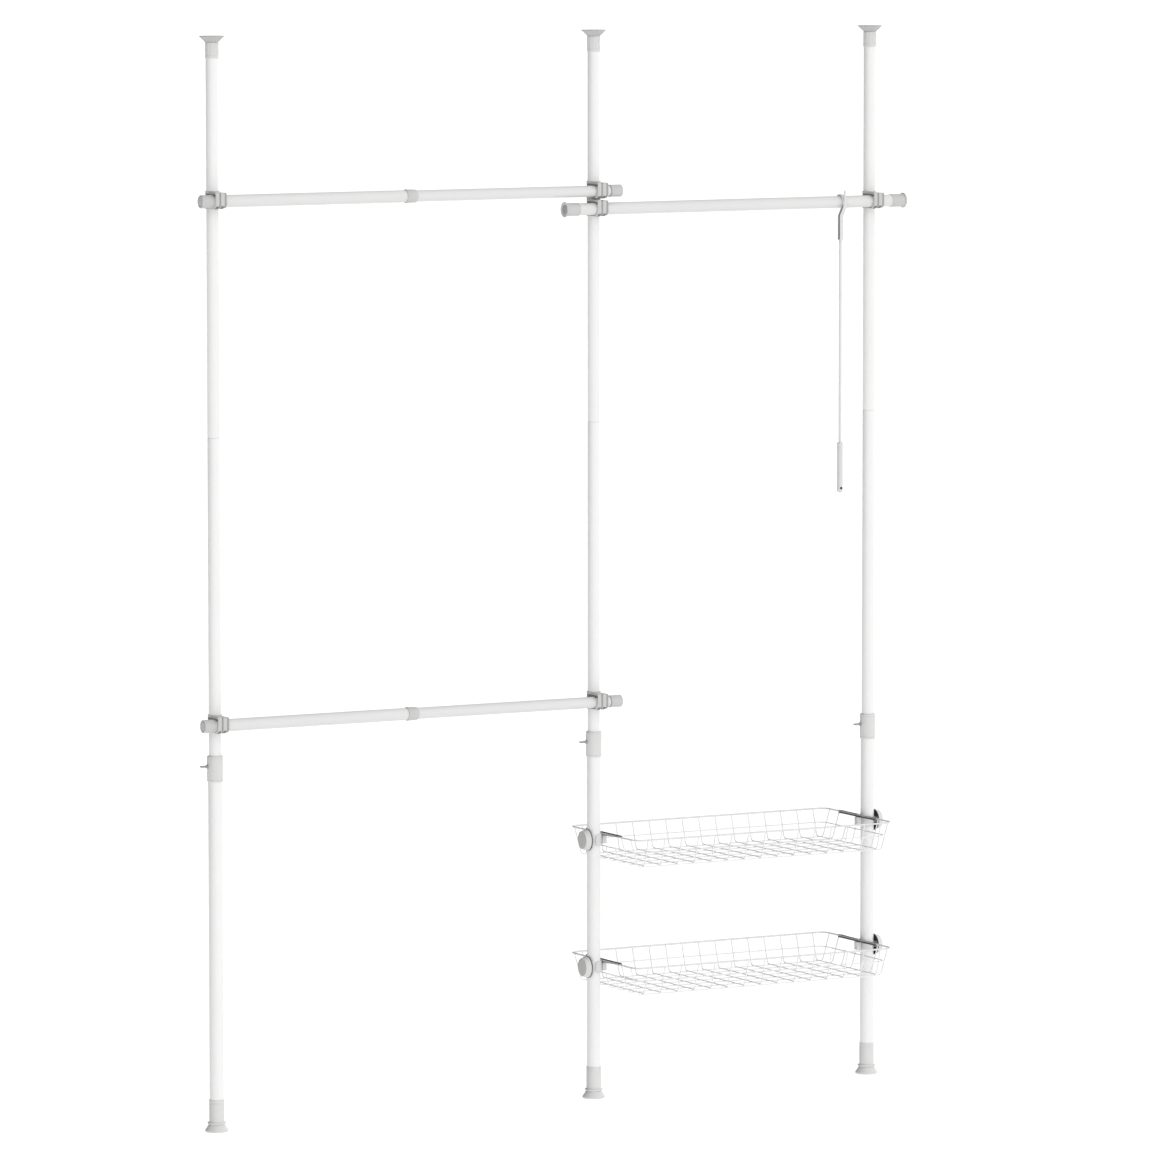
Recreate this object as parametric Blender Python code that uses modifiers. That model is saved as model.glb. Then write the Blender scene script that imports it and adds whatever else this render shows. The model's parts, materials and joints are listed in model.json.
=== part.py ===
"""Floor-to-ceiling clothes rack: telescopic poles, clothes rods, wire baskets and a reach hook.

Lengths are in metres. X runs along the rods from left to right, -Y is the side that faces the room,
and Z = 0 is the floor. The rack is laid out from the middle pole, then moved so that its box is
centred on X = 0.
"""

import math

import bmesh
import bpy
from mathutils import Vector

# Whole rack
TOTAL_HEIGHT = 2.500
LEFT_BAY_WIDTH = 0.986
RIGHT_BAY_WIDTH = 0.746

# Clearances and working values
SEAT_GAP = 0.0003
SLIDE_GAP = 0.0003
CUT_OVERRUN = 0.004
MERGE_DISTANCE = 0.00001
ROUND_SIDES = 16
SMALL_SIDES = 12
SHARP_ANGLE = math.radians(35)
MIDDLE_SHARE = 0.5
QUARTER_TURN = math.radians(90)
HALF_TURN = math.radians(180)

# Pole tubes
LOWER_TUBE_DIAMETER = 0.032
LOWER_TUBE_WALL = 0.0012
UPPER_TUBE_DIAMETER = 0.028
UPPER_TUBE_WALL = 0.0010
MIDDLE_TUBE_INSERT = 0.210
MIDDLE_TUBE_TOP = 1.590
SPIGOT_LENGTH = 0.060

# Foot
FOOT_DIAMETER = 0.053
FOOT_EDGE_HEIGHT = 0.005
FOOT_NECK_DIAMETER = 0.039
FOOT_NECK_HEIGHT = 0.0196
FOOT_SHOULDER_HEIGHT = 0.003
FOOT_SLEEVE_HEIGHT = 0.0741
FOOT_SLEEVE_WALL = 0.0008
FOOT_FLOOR = 0.008

# Locking collar and its thumb screw
COLLAR_DROP = 0.1306
COLLAR_HEIGHT = 0.0584
COLLAR_WALL = 0.00195
COLLAR_CHAMFER = 0.0015
COLLAR_SEAT_DEPTH = 0.0239
THUMB_SCREW_HEIGHT = 0.0346
THUMB_SCREW_DIAMETER = 0.005
THUMB_BOSS_DIAMETER = 0.010
THUMB_BOSS_LENGTH = 0.0065
PADDLE_THICKNESS = 0.003
PADDLE_WIDTH = 0.012
PADDLE_LENGTH = 0.0185
PADDLE_ROOT = 0.003

# Ceiling adjuster and cup
ADJUSTER_HEIGHT = 0.0353
ADJUSTER_WALL = 0.00095
ADJUSTER_TUBE_DEPTH = 0.0193
CUP_HEIGHT = 0.0140
CUP_DIAMETER = 0.058
CUP_FLANGE = 0.0025
CUP_LIP = 0.003
STEM_DIAMETER = 0.016
STEM_LENGTH = 0.085

# Clothes rods
ROD_DIAMETER = 0.028
ROD_WALL = 0.0007
UPPER_ROD_DROP = 0.372
LOWER_ROD_HEIGHT = 0.937
ROD_OVERHANG_LEFT = 0.046
ROD_OVERHANG_RIGHT = 0.0545
LOCK_COLLAR_LEFT = 0.475
LOCK_COLLAR_LENGTH = 0.0364
LOCK_COLLAR_WALL = 0.0016
ROD_INSERT = 0.310
RIGHT_ROD_OVERHANG_LEFT = 0.095
RIGHT_ROD_OVERHANG_RIGHT = 0.076

# Rod end caps
CAP_WALL = 0.0007
CAP_LENGTH = 0.0290
CAP_END = 0.0022
CAP_ROUNDING = 0.0025
FLANGE_CAP_LENGTH = 0.037
FLANGE_DIAMETER = 0.0355
FLANGE_THICKNESS = 0.0025

# Rod clamps
CLAMP_HEIGHT = 0.0404
CLAMP_DROP = 0.0180
CLAMP_WALL = 0.0020
CLAMP_WEB = 0.0019
CLAMP_STACK_GAP = 0.0006
RING_RADIUS = 0.0193
RING_RISE = 0.0029
RING_LENGTH = 0.028
RING_OFFSET = 0.002

# Baskets
UPPER_BASKET_HEIGHT = 0.6228
BASKET_SPACING = 0.300
BASKET_INSET = 0.0235
BASKET_DEPTH = 0.316
BASKET_DROP = 0.063
BASKET_SLANT = 0.019
BASKET_CORNER = 0.020
BASKET_BEND = 0.010
RIM_WIRE_RADIUS = 0.0020
WIRE_RADIUS = 0.00125
WELD_DEPTH = 0.0005
CROSS_WIRES = 15
CROSS_WIRE_END = 0.0338
LONG_WIRES = 7
LONG_WIRE_PITCH = 0.045
MID_WIRE_DROP = 0.0315
SHORT_WIRE_STUB = 0.003

# Basket brackets
RAIL_LENGTH = 0.170
RAIL_WIDTH = 0.010
RAIL_SHEET = 0.0012
RAIL_INNER_LIP = 0.0042
RAIL_OUTER_LIP = 0.0008
BAND_RADIUS = 0.0195
BAND_HEIGHT = 0.017
SADDLE_RISE = 0.0078
SADDLE_DROP = 0.0060
BLOCK_REACH = 0.0300
BLOCK_DEPTH = 0.009
BLOCK_HEIGHT = 0.019
KNOB_DIAMETER = 0.051
KNOB_FACE_DIAMETER = 0.0434
KNOB_WALL = 0.0020
KNOB_DEPTH = 0.015
KNOB_GAP = 0.0005
KNOB_SCREW_DIAMETER = 0.008

# Reach hook
HOOK_FROM_POLE = 0.097
HOOK_PLATE_THICKNESS = 0.009
HOOK_STEM_WIDTH = 0.0105
HOOK_STEM_DROP = 0.090
HOOK_ARM = 0.0060
HOOK_ARM_ANGLE = math.radians(-125)
HOOK_CURL_ANGLE = math.radians(-335)
HOOK_PRONG_RISE = 0.0275
HOOK_PRONG_INSET = 0.0045
HOOK_BELLY_DROP = 0.0103
HOOK_ROD_DIAMETER = 0.0067
HOOK_ROD_SOCKET = 0.022
HOOK_HANDLE_DROP = 0.5685
HOOK_HANDLE_LENGTH = 0.1185
HOOK_HANDLE_DIAMETER = 0.0138
HOOK_HANDLE_ROUNDING = 0.0050
HOOK_HANDLE_END_INSET = 0.0025
HOOK_HANDLE_SOCKET = 0.030
HOOK_HOLE_DIAMETER = 0.0050
HOOK_HOLE_HEIGHT = 0.0105
HOOK_ARC_STEPS = 12

# Worked out from the values above
LOWER_RADIUS = LOWER_TUBE_DIAMETER / 2
UPPER_RADIUS = UPPER_TUBE_DIAMETER / 2
UPPER_BORE_RADIUS = UPPER_RADIUS - UPPER_TUBE_WALL
ROD_RADIUS = ROD_DIAMETER / 2
INNER_ROD_RADIUS = ROD_RADIUS - ROD_WALL - SLIDE_GAP
ROD_SETBACK = UPPER_RADIUS + ROD_RADIUS + 2 * SEAT_GAP + CLAMP_WEB
UPPER_ROD_HEIGHT = TOTAL_HEIGHT - UPPER_ROD_DROP
RIGHT_ROD_HEIGHT = UPPER_ROD_HEIGHT - CLAMP_HEIGHT - CLAMP_STACK_GAP
COLLAR_BOTTOM = LOWER_ROD_HEIGHT - COLLAR_DROP
LOWER_TUBE_BOTTOM = FOOT_FLOOR + SEAT_GAP
LOWER_TUBE_TOP = COLLAR_BOTTOM + COLLAR_SEAT_DEPTH - SEAT_GAP
ADJUSTER_BOTTOM = TOTAL_HEIGHT - CUP_HEIGHT - ADJUSTER_HEIGHT - SEAT_GAP
TOP_TUBE_TOP = ADJUSTER_BOTTOM + ADJUSTER_TUBE_DEPTH - SEAT_GAP
COLLAR_RADIUS = LOWER_RADIUS + SEAT_GAP + COLLAR_WALL
ADJUSTER_RADIUS = UPPER_RADIUS + SEAT_GAP + ADJUSTER_WALL
RACK_LEFT = -LEFT_BAY_WIDTH - ROD_OVERHANG_LEFT
RACK_RIGHT = RIGHT_BAY_WIDTH + RIGHT_ROD_OVERHANG_RIGHT
POLE_PLACES = {"left": -LEFT_BAY_WIDTH, "middle": 0.0, "right": RIGHT_BAY_WIDTH}


def clear_scene():
    for obj in list(bpy.data.objects):
        bpy.data.objects.remove(obj)


def new_collection(name):
    made = bpy.data.collections.new(name)
    bpy.context.scene.collection.children.link(made)
    return made


def new_material(name, colour, roughness, metallic=0.0):
    made = bpy.data.materials.new(name)
    made.use_nodes = True
    shader = made.node_tree.nodes["Principled BSDF"]
    shader.inputs["Base Color"].default_value = (*colour, 1.0)
    shader.inputs["Roughness"].default_value = roughness
    shader.inputs["Metallic"].default_value = metallic
    made.diffuse_color = (*colour, 1.0)
    return made


def add_piece(obj, material, parent, location=(0, 0, 0), rotation=(0, 0, 0)):
    """Puts a finished piece in the rack's collection, at its place under its parent."""
    PIECES.objects.link(obj)
    obj.data.materials.clear()
    obj.data.materials.append(material)
    obj.parent = parent
    obj.location = location
    obj.rotation_euler = rotation
    return obj


def add_cutter(obj, parent, location=(0, 0, 0), rotation=(0, 0, 0)):
    CUTTERS.objects.link(obj)
    obj.parent = parent
    obj.location = location
    obj.rotation_euler = rotation
    obj.hide_render = True
    obj.display_type = "WIRE"
    return obj


def add_empty(name, parent=None, location=(0, 0, 0)):
    made = bpy.data.objects.new(name, None)
    PIECES.objects.link(made)
    made.parent = parent
    made.location = location
    return made


def apply_modifiers(obj):
    """Turns the object, as its modifiers or its curve show it, into a plain smooth-shaded mesh object."""
    bpy.context.scene.collection.objects.link(obj)
    bpy.context.view_layer.update()
    evaluated = obj.evaluated_get(bpy.context.evaluated_depsgraph_get())
    mesh = bpy.data.meshes.new_from_object(evaluated)
    name = obj.name
    bpy.data.objects.remove(obj)
    work = bmesh.new()
    work.from_mesh(mesh)
    bmesh.ops.remove_doubles(work, verts=work.verts, dist=MERGE_DISTANCE)
    work.to_mesh(mesh)
    work.free()
    mesh.shade_smooth()
    mesh.set_sharp_from_angle(angle=SHARP_ANGLE)
    return bpy.data.objects.new(name, mesh)


def turned(name, profile, closed=False, sides=ROUND_SIDES):
    """A turned piece on the local Z axis: profile is (radius, height) points, down the outer side."""
    mesh = bpy.data.meshes.new(name)
    points = [(radius, 0, height) for radius, height in profile]
    edges = [(number, number + 1) for number in range(len(points) - 1)]
    if closed:
        edges.append((len(points) - 1, 0))
    mesh.from_pydata(points, edges, [])
    obj = bpy.data.objects.new(name, mesh)
    turn = obj.modifiers.new("Turn", "SCREW")
    turn.axis = "Z"
    turn.steps = sides
    turn.render_steps = sides
    turn.use_merge_vertices = True
    turn.merge_threshold = MERGE_DISTANCE
    return apply_modifiers(obj)


def sleeve(name, outer, inner, length, sides=ROUND_SIDES):
    """An open tube from height 0 to its length."""
    return turned(name, [(outer, length), (outer, 0), (inner, 0), (inner, length)], True, sides)


def rod(name, radius, length, sides=ROUND_SIDES):
    """A solid round bar from height 0 to its length."""
    return turned(name, [(0, length), (radius, length), (radius, 0), (0, 0)], False, sides)


def box(name, size, centre):
    work = bmesh.new()
    bmesh.ops.create_cube(work, size=1.0)
    bmesh.ops.scale(work, vec=Vector(size), verts=work.verts)
    bmesh.ops.translate(work, vec=Vector(centre), verts=work.verts)
    mesh = bpy.data.meshes.new(name)
    work.to_mesh(mesh)
    work.free()
    return bpy.data.objects.new(name, mesh)


def wire(name, points, radius, closed=False):
    """A four-sided wire along the points, as a closed mesh object."""
    curve = bpy.data.curves.new(name, "CURVE")
    curve.dimensions = "3D"
    curve.bevel_depth = radius
    curve.bevel_resolution = 0
    curve.use_fill_caps = True
    line = curve.splines.new("POLY")
    line.points.add(len(points) - 1)
    for spot, point in zip(line.points, points):
        spot.co = (*point, 1.0)
    line.use_cyclic_u = closed
    return apply_modifiers(bpy.data.objects.new(name, curve))


def flat_plate(name, outline, thickness):
    """A plate with this outline in the local XY plane, centred on it in thickness."""
    curve = bpy.data.curves.new(name, "CURVE")
    curve.dimensions = "2D"
    curve.fill_mode = "BOTH"
    curve.extrude = thickness / 2
    line = curve.splines.new("POLY")
    line.points.add(len(outline) - 1)
    for spot, (across, up) in zip(line.points, outline):
        spot.co = (across, up, 0.0, 1.0)
    line.use_cyclic_u = True
    return apply_modifiers(bpy.data.objects.new(name, curve))


def combine(obj, operation, other):
    change = obj.modifiers.new(other.name, "BOOLEAN")
    change.operation = operation
    change.object = other
    change.solver = "EXACT"


def arc(centre, radius, start, end, steps):
    """Points along an arc in a plane, from the start angle to the end angle."""
    points = []
    for number in range(steps + 1):
        angle = start + (end - start) * number / steps
        points.append((centre[0] + radius * math.cos(angle), centre[1] + radius * math.sin(angle)))
    return points


def bent(points, radius, closed=False):
    """The points with each corner replaced by the start, middle and end of a bend of this radius."""
    count = len(points)
    path = []
    for number, point in enumerate(points):
        corner = Vector(point)
        if not closed and number in (0, count - 1):
            path.append(corner)
            continue
        before = (Vector(points[number - 1]) - corner).normalized()
        after = (Vector(points[(number + 1) % count]) - corner).normalized()
        half_angle = before.angle(after) / 2
        inward = (before + after).normalized()
        tangent = radius / math.tan(half_angle)
        centre = corner + inward * (radius / math.sin(half_angle))
        path.append(corner + before * tangent)
        path.append(centre - inward * radius)
        path.append(corner + after * tangent)
    return path


def make_foot(side, parent):
    profile = [
        (0, FOOT_FLOOR),
        (LOWER_RADIUS + SEAT_GAP, FOOT_FLOOR),
        (LOWER_RADIUS + SEAT_GAP, FOOT_SLEEVE_HEIGHT),
        (LOWER_RADIUS + SEAT_GAP + FOOT_SLEEVE_WALL, FOOT_SLEEVE_HEIGHT),
        (LOWER_RADIUS + SEAT_GAP + FOOT_SLEEVE_WALL, FOOT_NECK_HEIGHT + FOOT_SHOULDER_HEIGHT),
        (FOOT_NECK_DIAMETER / 2, FOOT_NECK_HEIGHT),
        (FOOT_DIAMETER / 2, FOOT_EDGE_HEIGHT),
        (FOOT_DIAMETER / 2, 0),
        (0, 0),
    ]
    add_piece(turned(side + "_foot", profile), WHITE_PLASTIC, parent)


def make_lower_tube(side, parent):
    bore = LOWER_RADIUS - LOWER_TUBE_WALL
    tube = sleeve(side + "_lower_tube", LOWER_RADIUS, bore, LOWER_TUBE_TOP - LOWER_TUBE_BOTTOM)
    add_piece(tube, WHITE_PAINT, parent, (0, 0, LOWER_TUBE_BOTTOM))


def make_locking_collar(side, parent):
    """The collar seats on the lower tube's end, and its upper bore guides the middle tube."""
    wide_bore = LOWER_RADIUS + SEAT_GAP
    guide_bore = UPPER_RADIUS + SLIDE_GAP
    profile = [
        (COLLAR_RADIUS - COLLAR_CHAMFER, COLLAR_HEIGHT),
        (COLLAR_RADIUS, COLLAR_HEIGHT - COLLAR_CHAMFER),
        (COLLAR_RADIUS, COLLAR_CHAMFER),
        (COLLAR_RADIUS - COLLAR_CHAMFER, 0),
        (wide_bore, 0),
        (wide_bore, COLLAR_SEAT_DEPTH),
        (guide_bore, COLLAR_SEAT_DEPTH),
        (guide_bore, COLLAR_HEIGHT),
    ]
    collar = add_piece(
        turned(side + "_locking_collar", profile, True), WHITE_PLASTIC, parent, (0, 0, COLLAR_BOTTOM)
    )
    hole = rod(
        side + "_screw_hole_cutter",
        THUMB_SCREW_DIAMETER / 2 + SLIDE_GAP,
        COLLAR_RADIUS + CUT_OVERRUN,
        SMALL_SIDES,
    )
    add_cutter(hole, collar, (0, 0, THUMB_SCREW_HEIGHT), (0, -QUARTER_TURN, 0))
    combine(collar, "DIFFERENCE", hole)


def make_thumb_screw(side, parent):
    """Local Z is the screw's axis, pointing away from the pole; its tip bears on the middle tube."""
    tip = UPPER_RADIUS + SEAT_GAP
    boss = COLLAR_RADIUS + SEAT_GAP
    boss_end = boss + THUMB_BOSS_LENGTH
    profile = [
        (0, boss_end),
        (THUMB_SCREW_DIAMETER / 2, boss_end),
        (THUMB_BOSS_DIAMETER / 2, boss),
        (THUMB_SCREW_DIAMETER / 2, boss),
        (THUMB_SCREW_DIAMETER / 2, tip),
        (0, tip),
    ]
    screw = add_piece(
        turned(side + "_thumb_screw", profile, False, SMALL_SIDES),
        WHITE_PLASTIC,
        parent,
        (0, 0, COLLAR_BOTTOM + THUMB_SCREW_HEIGHT),
        (0, -QUARTER_TURN, 0),
    )
    paddle_start = boss + PADDLE_ROOT
    paddle_end = boss + PADDLE_LENGTH
    paddle = box(
        side + "_paddle_form",
        (PADDLE_THICKNESS, PADDLE_WIDTH, paddle_end - paddle_start),
        (0, 0, (paddle_start + paddle_end) / 2),
    )
    add_cutter(paddle, screw)
    combine(screw, "UNION", paddle)


def make_middle_tube(side, parent):
    bottom = LOWER_TUBE_TOP - MIDDLE_TUBE_INSERT
    tube = sleeve(side + "_middle_tube", UPPER_RADIUS, UPPER_BORE_RADIUS, MIDDLE_TUBE_TOP - bottom)
    add_piece(tube, WHITE_PAINT, parent, (0, 0, bottom))


def make_top_tube(side, parent):
    """The top tube's swaged end plugs into the middle tube."""
    bottom = MIDDLE_TUBE_TOP + SEAT_GAP
    spigot_radius = UPPER_BORE_RADIUS - SEAT_GAP
    bore = spigot_radius - UPPER_TUBE_WALL
    length = TOP_TUBE_TOP - bottom
    profile = [
        (UPPER_RADIUS, length),
        (UPPER_RADIUS, 0),
        (spigot_radius, 0),
        (spigot_radius, -SPIGOT_LENGTH),
        (bore, -SPIGOT_LENGTH),
        (bore, length),
    ]
    add_piece(turned(side + "_top_tube", profile, True), WHITE_PAINT, parent, (0, 0, bottom))


def make_ceiling_adjuster(side, parent):
    """A nut that sits on the top tube's end: turning it drives the cup's stem up against the ceiling."""
    wide_bore = UPPER_RADIUS + SEAT_GAP
    stem_bore = STEM_DIAMETER / 2 + SLIDE_GAP
    profile = [
        (ADJUSTER_RADIUS, ADJUSTER_HEIGHT),
        (ADJUSTER_RADIUS, 0),
        (wide_bore, 0),
        (wide_bore, ADJUSTER_TUBE_DEPTH),
        (stem_bore, ADJUSTER_TUBE_DEPTH),
        (stem_bore, ADJUSTER_HEIGHT),
    ]
    nut = turned(side + "_ceiling_adjuster", profile, True)
    add_piece(nut, WHITE_PLASTIC, parent, (0, 0, ADJUSTER_BOTTOM))


def make_ceiling_cup(side, parent):
    profile = [
        (0, CUP_HEIGHT),
        (CUP_DIAMETER / 2, CUP_HEIGHT),
        (CUP_DIAMETER / 2, CUP_HEIGHT - CUP_FLANGE),
        (CUP_DIAMETER / 2 - CUP_LIP, CUP_HEIGHT - CUP_FLANGE),
        (ADJUSTER_RADIUS, 0),
        (STEM_DIAMETER / 2, 0),
        (STEM_DIAMETER / 2, -STEM_LENGTH),
        (0, -STEM_LENGTH),
    ]
    cup = turned(side + "_ceiling_cup", profile)
    add_piece(cup, WHITE_PLASTIC, parent, (0, 0, TOTAL_HEIGHT - CUP_HEIGHT))


def make_pole(side, parent):
    pole = add_empty(side + "_pole", parent, (POLE_PLACES[side], 0, 0))
    make_foot(side, pole)
    make_lower_tube(side, pole)
    make_locking_collar(side, pole)
    make_thumb_screw(side, pole)
    make_middle_tube(side, pole)
    make_top_tube(side, pole)
    make_ceiling_adjuster(side, pole)
    make_ceiling_cup(side, pole)


def make_rod_clamp(name, bore_radius, parent, pole_place, height):
    """A sleeve on the pole with a ring in front of it that the clothes rod passes through."""
    place = (pole_place, 0, height - CLAMP_DROP)
    clamp = add_piece(
        rod(name, UPPER_RADIUS + SEAT_GAP + CLAMP_WALL, CLAMP_HEIGHT), WHITE_PLASTIC, parent, place
    )
    ring_start = -RING_LENGTH / 2 - RING_OFFSET
    ring = rod(name + "_ring_form", RING_RADIUS, RING_LENGTH)
    add_cutter(ring, clamp, (ring_start, -ROD_SETBACK, CLAMP_DROP + RING_RISE), (0, QUARTER_TURN, 0))
    combine(clamp, "UNION", ring)
    pole_bore = rod(name + "_pole_cutter", UPPER_RADIUS + SEAT_GAP, CLAMP_HEIGHT + 2 * CUT_OVERRUN)
    add_cutter(pole_bore, clamp, (0, 0, -CUT_OVERRUN))
    combine(clamp, "DIFFERENCE", pole_bore)
    rod_bore = rod(name + "_rod_cutter", bore_radius, RING_LENGTH + 2 * CUT_OVERRUN)
    add_cutter(
        rod_bore, clamp, (ring_start - CUT_OVERRUN, -ROD_SETBACK, CLAMP_DROP), (0, QUARTER_TURN, 0)
    )
    combine(clamp, "DIFFERENCE", rod_bore)


def make_end_cap(name, tube_radius, parent, place, rotation):
    """A push-on cap: local Z points out of the rod, and the closed end's outer face is at height 0."""
    bore = tube_radius + SEAT_GAP
    outer = bore + CAP_WALL
    profile = [
        (0, 0),
        (outer - CAP_ROUNDING, 0),
        (outer, -CAP_ROUNDING),
        (outer, -CAP_LENGTH),
        (bore, -CAP_LENGTH),
        (bore, -CAP_END),
        (0, -CAP_END),
    ]
    add_piece(turned(name, profile), WHITE_PLASTIC, parent, place, rotation)


def make_flanged_cap(name, parent, place, rotation):
    bore = ROD_RADIUS + SEAT_GAP
    outer = bore + CAP_WALL
    profile = [
        (0, 0),
        (FLANGE_DIAMETER / 2, 0),
        (FLANGE_DIAMETER / 2, -FLANGE_THICKNESS),
        (outer, -FLANGE_THICKNESS),
        (outer, -FLANGE_CAP_LENGTH),
        (bore, -FLANGE_CAP_LENGTH),
        (bore, -CAP_END),
        (0, -CAP_END),
    ]
    add_piece(turned(name, profile), WHITE_PLASTIC, parent, place, rotation)


def make_lock_collar(name, parent, place):
    """A twist collar on the outer tube's end that grips the inner tube; local Z points right."""
    outer = ROD_RADIUS + SEAT_GAP + LOCK_COLLAR_WALL
    wide_bore = ROD_RADIUS + SEAT_GAP
    narrow_bore = INNER_ROD_RADIUS + SLIDE_GAP
    profile = [
        (outer, LOCK_COLLAR_LENGTH),
        (outer, 0),
        (wide_bore, 0),
        (wide_bore, LOCK_COLLAR_LENGTH / 2),
        (narrow_bore, LOCK_COLLAR_LENGTH / 2),
        (narrow_bore, LOCK_COLLAR_LENGTH),
    ]
    add_piece(turned(name, profile, True), WHITE_PLASTIC, parent, place, (0, QUARTER_TURN, 0))


def make_telescopic_rod(name, height, parent):
    """An outer tube on the left pole and an inner tube on the middle pole, joined by a twist collar."""
    axis = add_empty(name, parent, (0, -ROD_SETBACK, height))
    left_face = -LEFT_BAY_WIDTH - ROD_OVERHANG_LEFT
    right_face = ROD_OVERHANG_RIGHT
    collar_start = left_face + ROD_OVERHANG_LEFT + LOCK_COLLAR_LEFT
    outer_start = left_face + CAP_END + SEAT_GAP
    outer_end = collar_start + LOCK_COLLAR_LENGTH / 2 - SEAT_GAP
    inner_start = outer_end - ROD_INSERT
    inner_end = right_face - CAP_END - SEAT_GAP
    along_x = (0, QUARTER_TURN, 0)
    outer_tube = sleeve(name + "_outer_tube", ROD_RADIUS, ROD_RADIUS - ROD_WALL, outer_end - outer_start)
    add_piece(outer_tube, WHITE_PAINT, axis, (outer_start, 0, 0), along_x)
    inner_tube = sleeve(
        name + "_inner_tube", INNER_ROD_RADIUS, INNER_ROD_RADIUS - ROD_WALL, inner_end - inner_start
    )
    add_piece(inner_tube, WHITE_PAINT, axis, (inner_start, 0, 0), along_x)
    make_lock_collar(name + "_lock_collar", axis, (collar_start, 0, 0))
    make_end_cap(name + "_left_cap", ROD_RADIUS, axis, (left_face, 0, 0), (0, -QUARTER_TURN, 0))
    make_end_cap(name + "_right_cap", INNER_ROD_RADIUS, axis, (right_face, 0, 0), along_x)
    left_bore = ROD_RADIUS + SEAT_GAP
    middle_bore = INNER_ROD_RADIUS + SEAT_GAP
    make_rod_clamp(name + "_left_clamp", left_bore, parent, POLE_PLACES["left"], height)
    make_rod_clamp(name + "_middle_clamp", middle_bore, parent, POLE_PLACES["middle"], height)


def make_right_rod(parent):
    name = "right_rod"
    axis = add_empty(name, parent, (0, -ROD_SETBACK, RIGHT_ROD_HEIGHT))
    left_face = -RIGHT_ROD_OVERHANG_LEFT
    right_face = RACK_RIGHT
    start = left_face + CAP_END + SEAT_GAP
    end = right_face - CAP_END - SEAT_GAP
    along_x = (0, QUARTER_TURN, 0)
    tube = sleeve(name + "_tube", ROD_RADIUS, ROD_RADIUS - ROD_WALL, end - start)
    add_piece(tube, WHITE_PAINT, axis, (start, 0, 0), along_x)
    make_flanged_cap(name + "_left_cap", axis, (left_face, 0, 0), (0, -QUARTER_TURN, 0))
    make_flanged_cap(name + "_right_cap", axis, (right_face, 0, 0), along_x)
    for side in ("middle", "right"):
        bore = ROD_RADIUS + SEAT_GAP
        make_rod_clamp(name + "_" + side + "_clamp", bore, parent, POLE_PLACES[side], RIGHT_ROD_HEIGHT)


def rounded_rectangle(half_length, half_depth, height, corner):
    corners = [
        (half_length, half_depth, height),
        (-half_length, half_depth, height),
        (-half_length, -half_depth, height),
        (half_length, -half_depth, height),
    ]
    return bent(corners, corner, True)


def cross_wire_path(place, half_depth):
    """A U from the front rim, under the basket and up to the back rim."""
    floor_half = half_depth - BASKET_SLANT
    points = [
        (place, -half_depth, 0),
        (place, -floor_half, -BASKET_DROP),
        (place, floor_half, -BASKET_DROP),
        (place, half_depth, 0),
    ]
    return bent(points, BASKET_BEND)


def long_wire_path(place, half_length):
    """A wire under the cross wires, up to the rim at both ends, or to the mid wire above the rails."""
    floor_half = half_length - BASKET_SLANT
    floor = -BASKET_DROP - 2 * WIRE_RADIUS + WELD_DEPTH
    top = 0
    if abs(place) < RAIL_LENGTH / 2 + 2 * WIRE_RADIUS:
        top = -MID_WIRE_DROP + SHORT_WIRE_STUB
    top_half = half_length + BASKET_SLANT * top / BASKET_DROP
    points = [
        (-top_half, place, top),
        (-floor_half, place, floor),
        (floor_half, place, floor),
        (top_half, place, top),
    ]
    return bent(points, BASKET_BEND)


def make_basket_mesh():
    """The welded basket, with its origin at the middle of its rim, as one mesh."""
    half_length = RIGHT_BAY_WIDTH / 2 - BASKET_INSET
    half_depth = BASKET_DEPTH / 2
    rim = wire("rim", rounded_rectangle(half_length, half_depth, 0, BASKET_CORNER), RIM_WIRE_RADIUS, True)
    welds = bpy.data.collections.new("basket_wires")
    mid_inset = BASKET_SLANT * MID_WIRE_DROP / BASKET_DROP + 2 * WIRE_RADIUS - WELD_DEPTH
    mid_path = rounded_rectangle(
        half_length - mid_inset, half_depth - mid_inset, -MID_WIRE_DROP, BASKET_CORNER
    )
    wires = [wire("mid_wire", mid_path, WIRE_RADIUS, True)]
    cross_span = 2 * (half_length - CROSS_WIRE_END)
    for number in range(CROSS_WIRES):
        place = cross_span * (number / (CROSS_WIRES - 1) - MIDDLE_SHARE)
        wires.append(wire("cross_wire", cross_wire_path(place, half_depth), WIRE_RADIUS))
    for number in range(LONG_WIRES):
        place = (number - (LONG_WIRES - 1) / 2) * LONG_WIRE_PITCH
        wires.append(wire("long_wire", long_wire_path(place, half_length), WIRE_RADIUS))
    for made in wires:
        welds.objects.link(made)
    weld = rim.modifiers.new("Weld wires", "BOOLEAN")
    weld.operation = "UNION"
    weld.operand_type = "COLLECTION"
    weld.collection = welds
    weld.solver = "EXACT"
    basket = apply_modifiers(rim)
    mesh = basket.data
    bpy.data.objects.remove(basket)
    for made in wires:
        bpy.data.objects.remove(made)
    bpy.data.collections.remove(welds)
    return mesh


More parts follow.
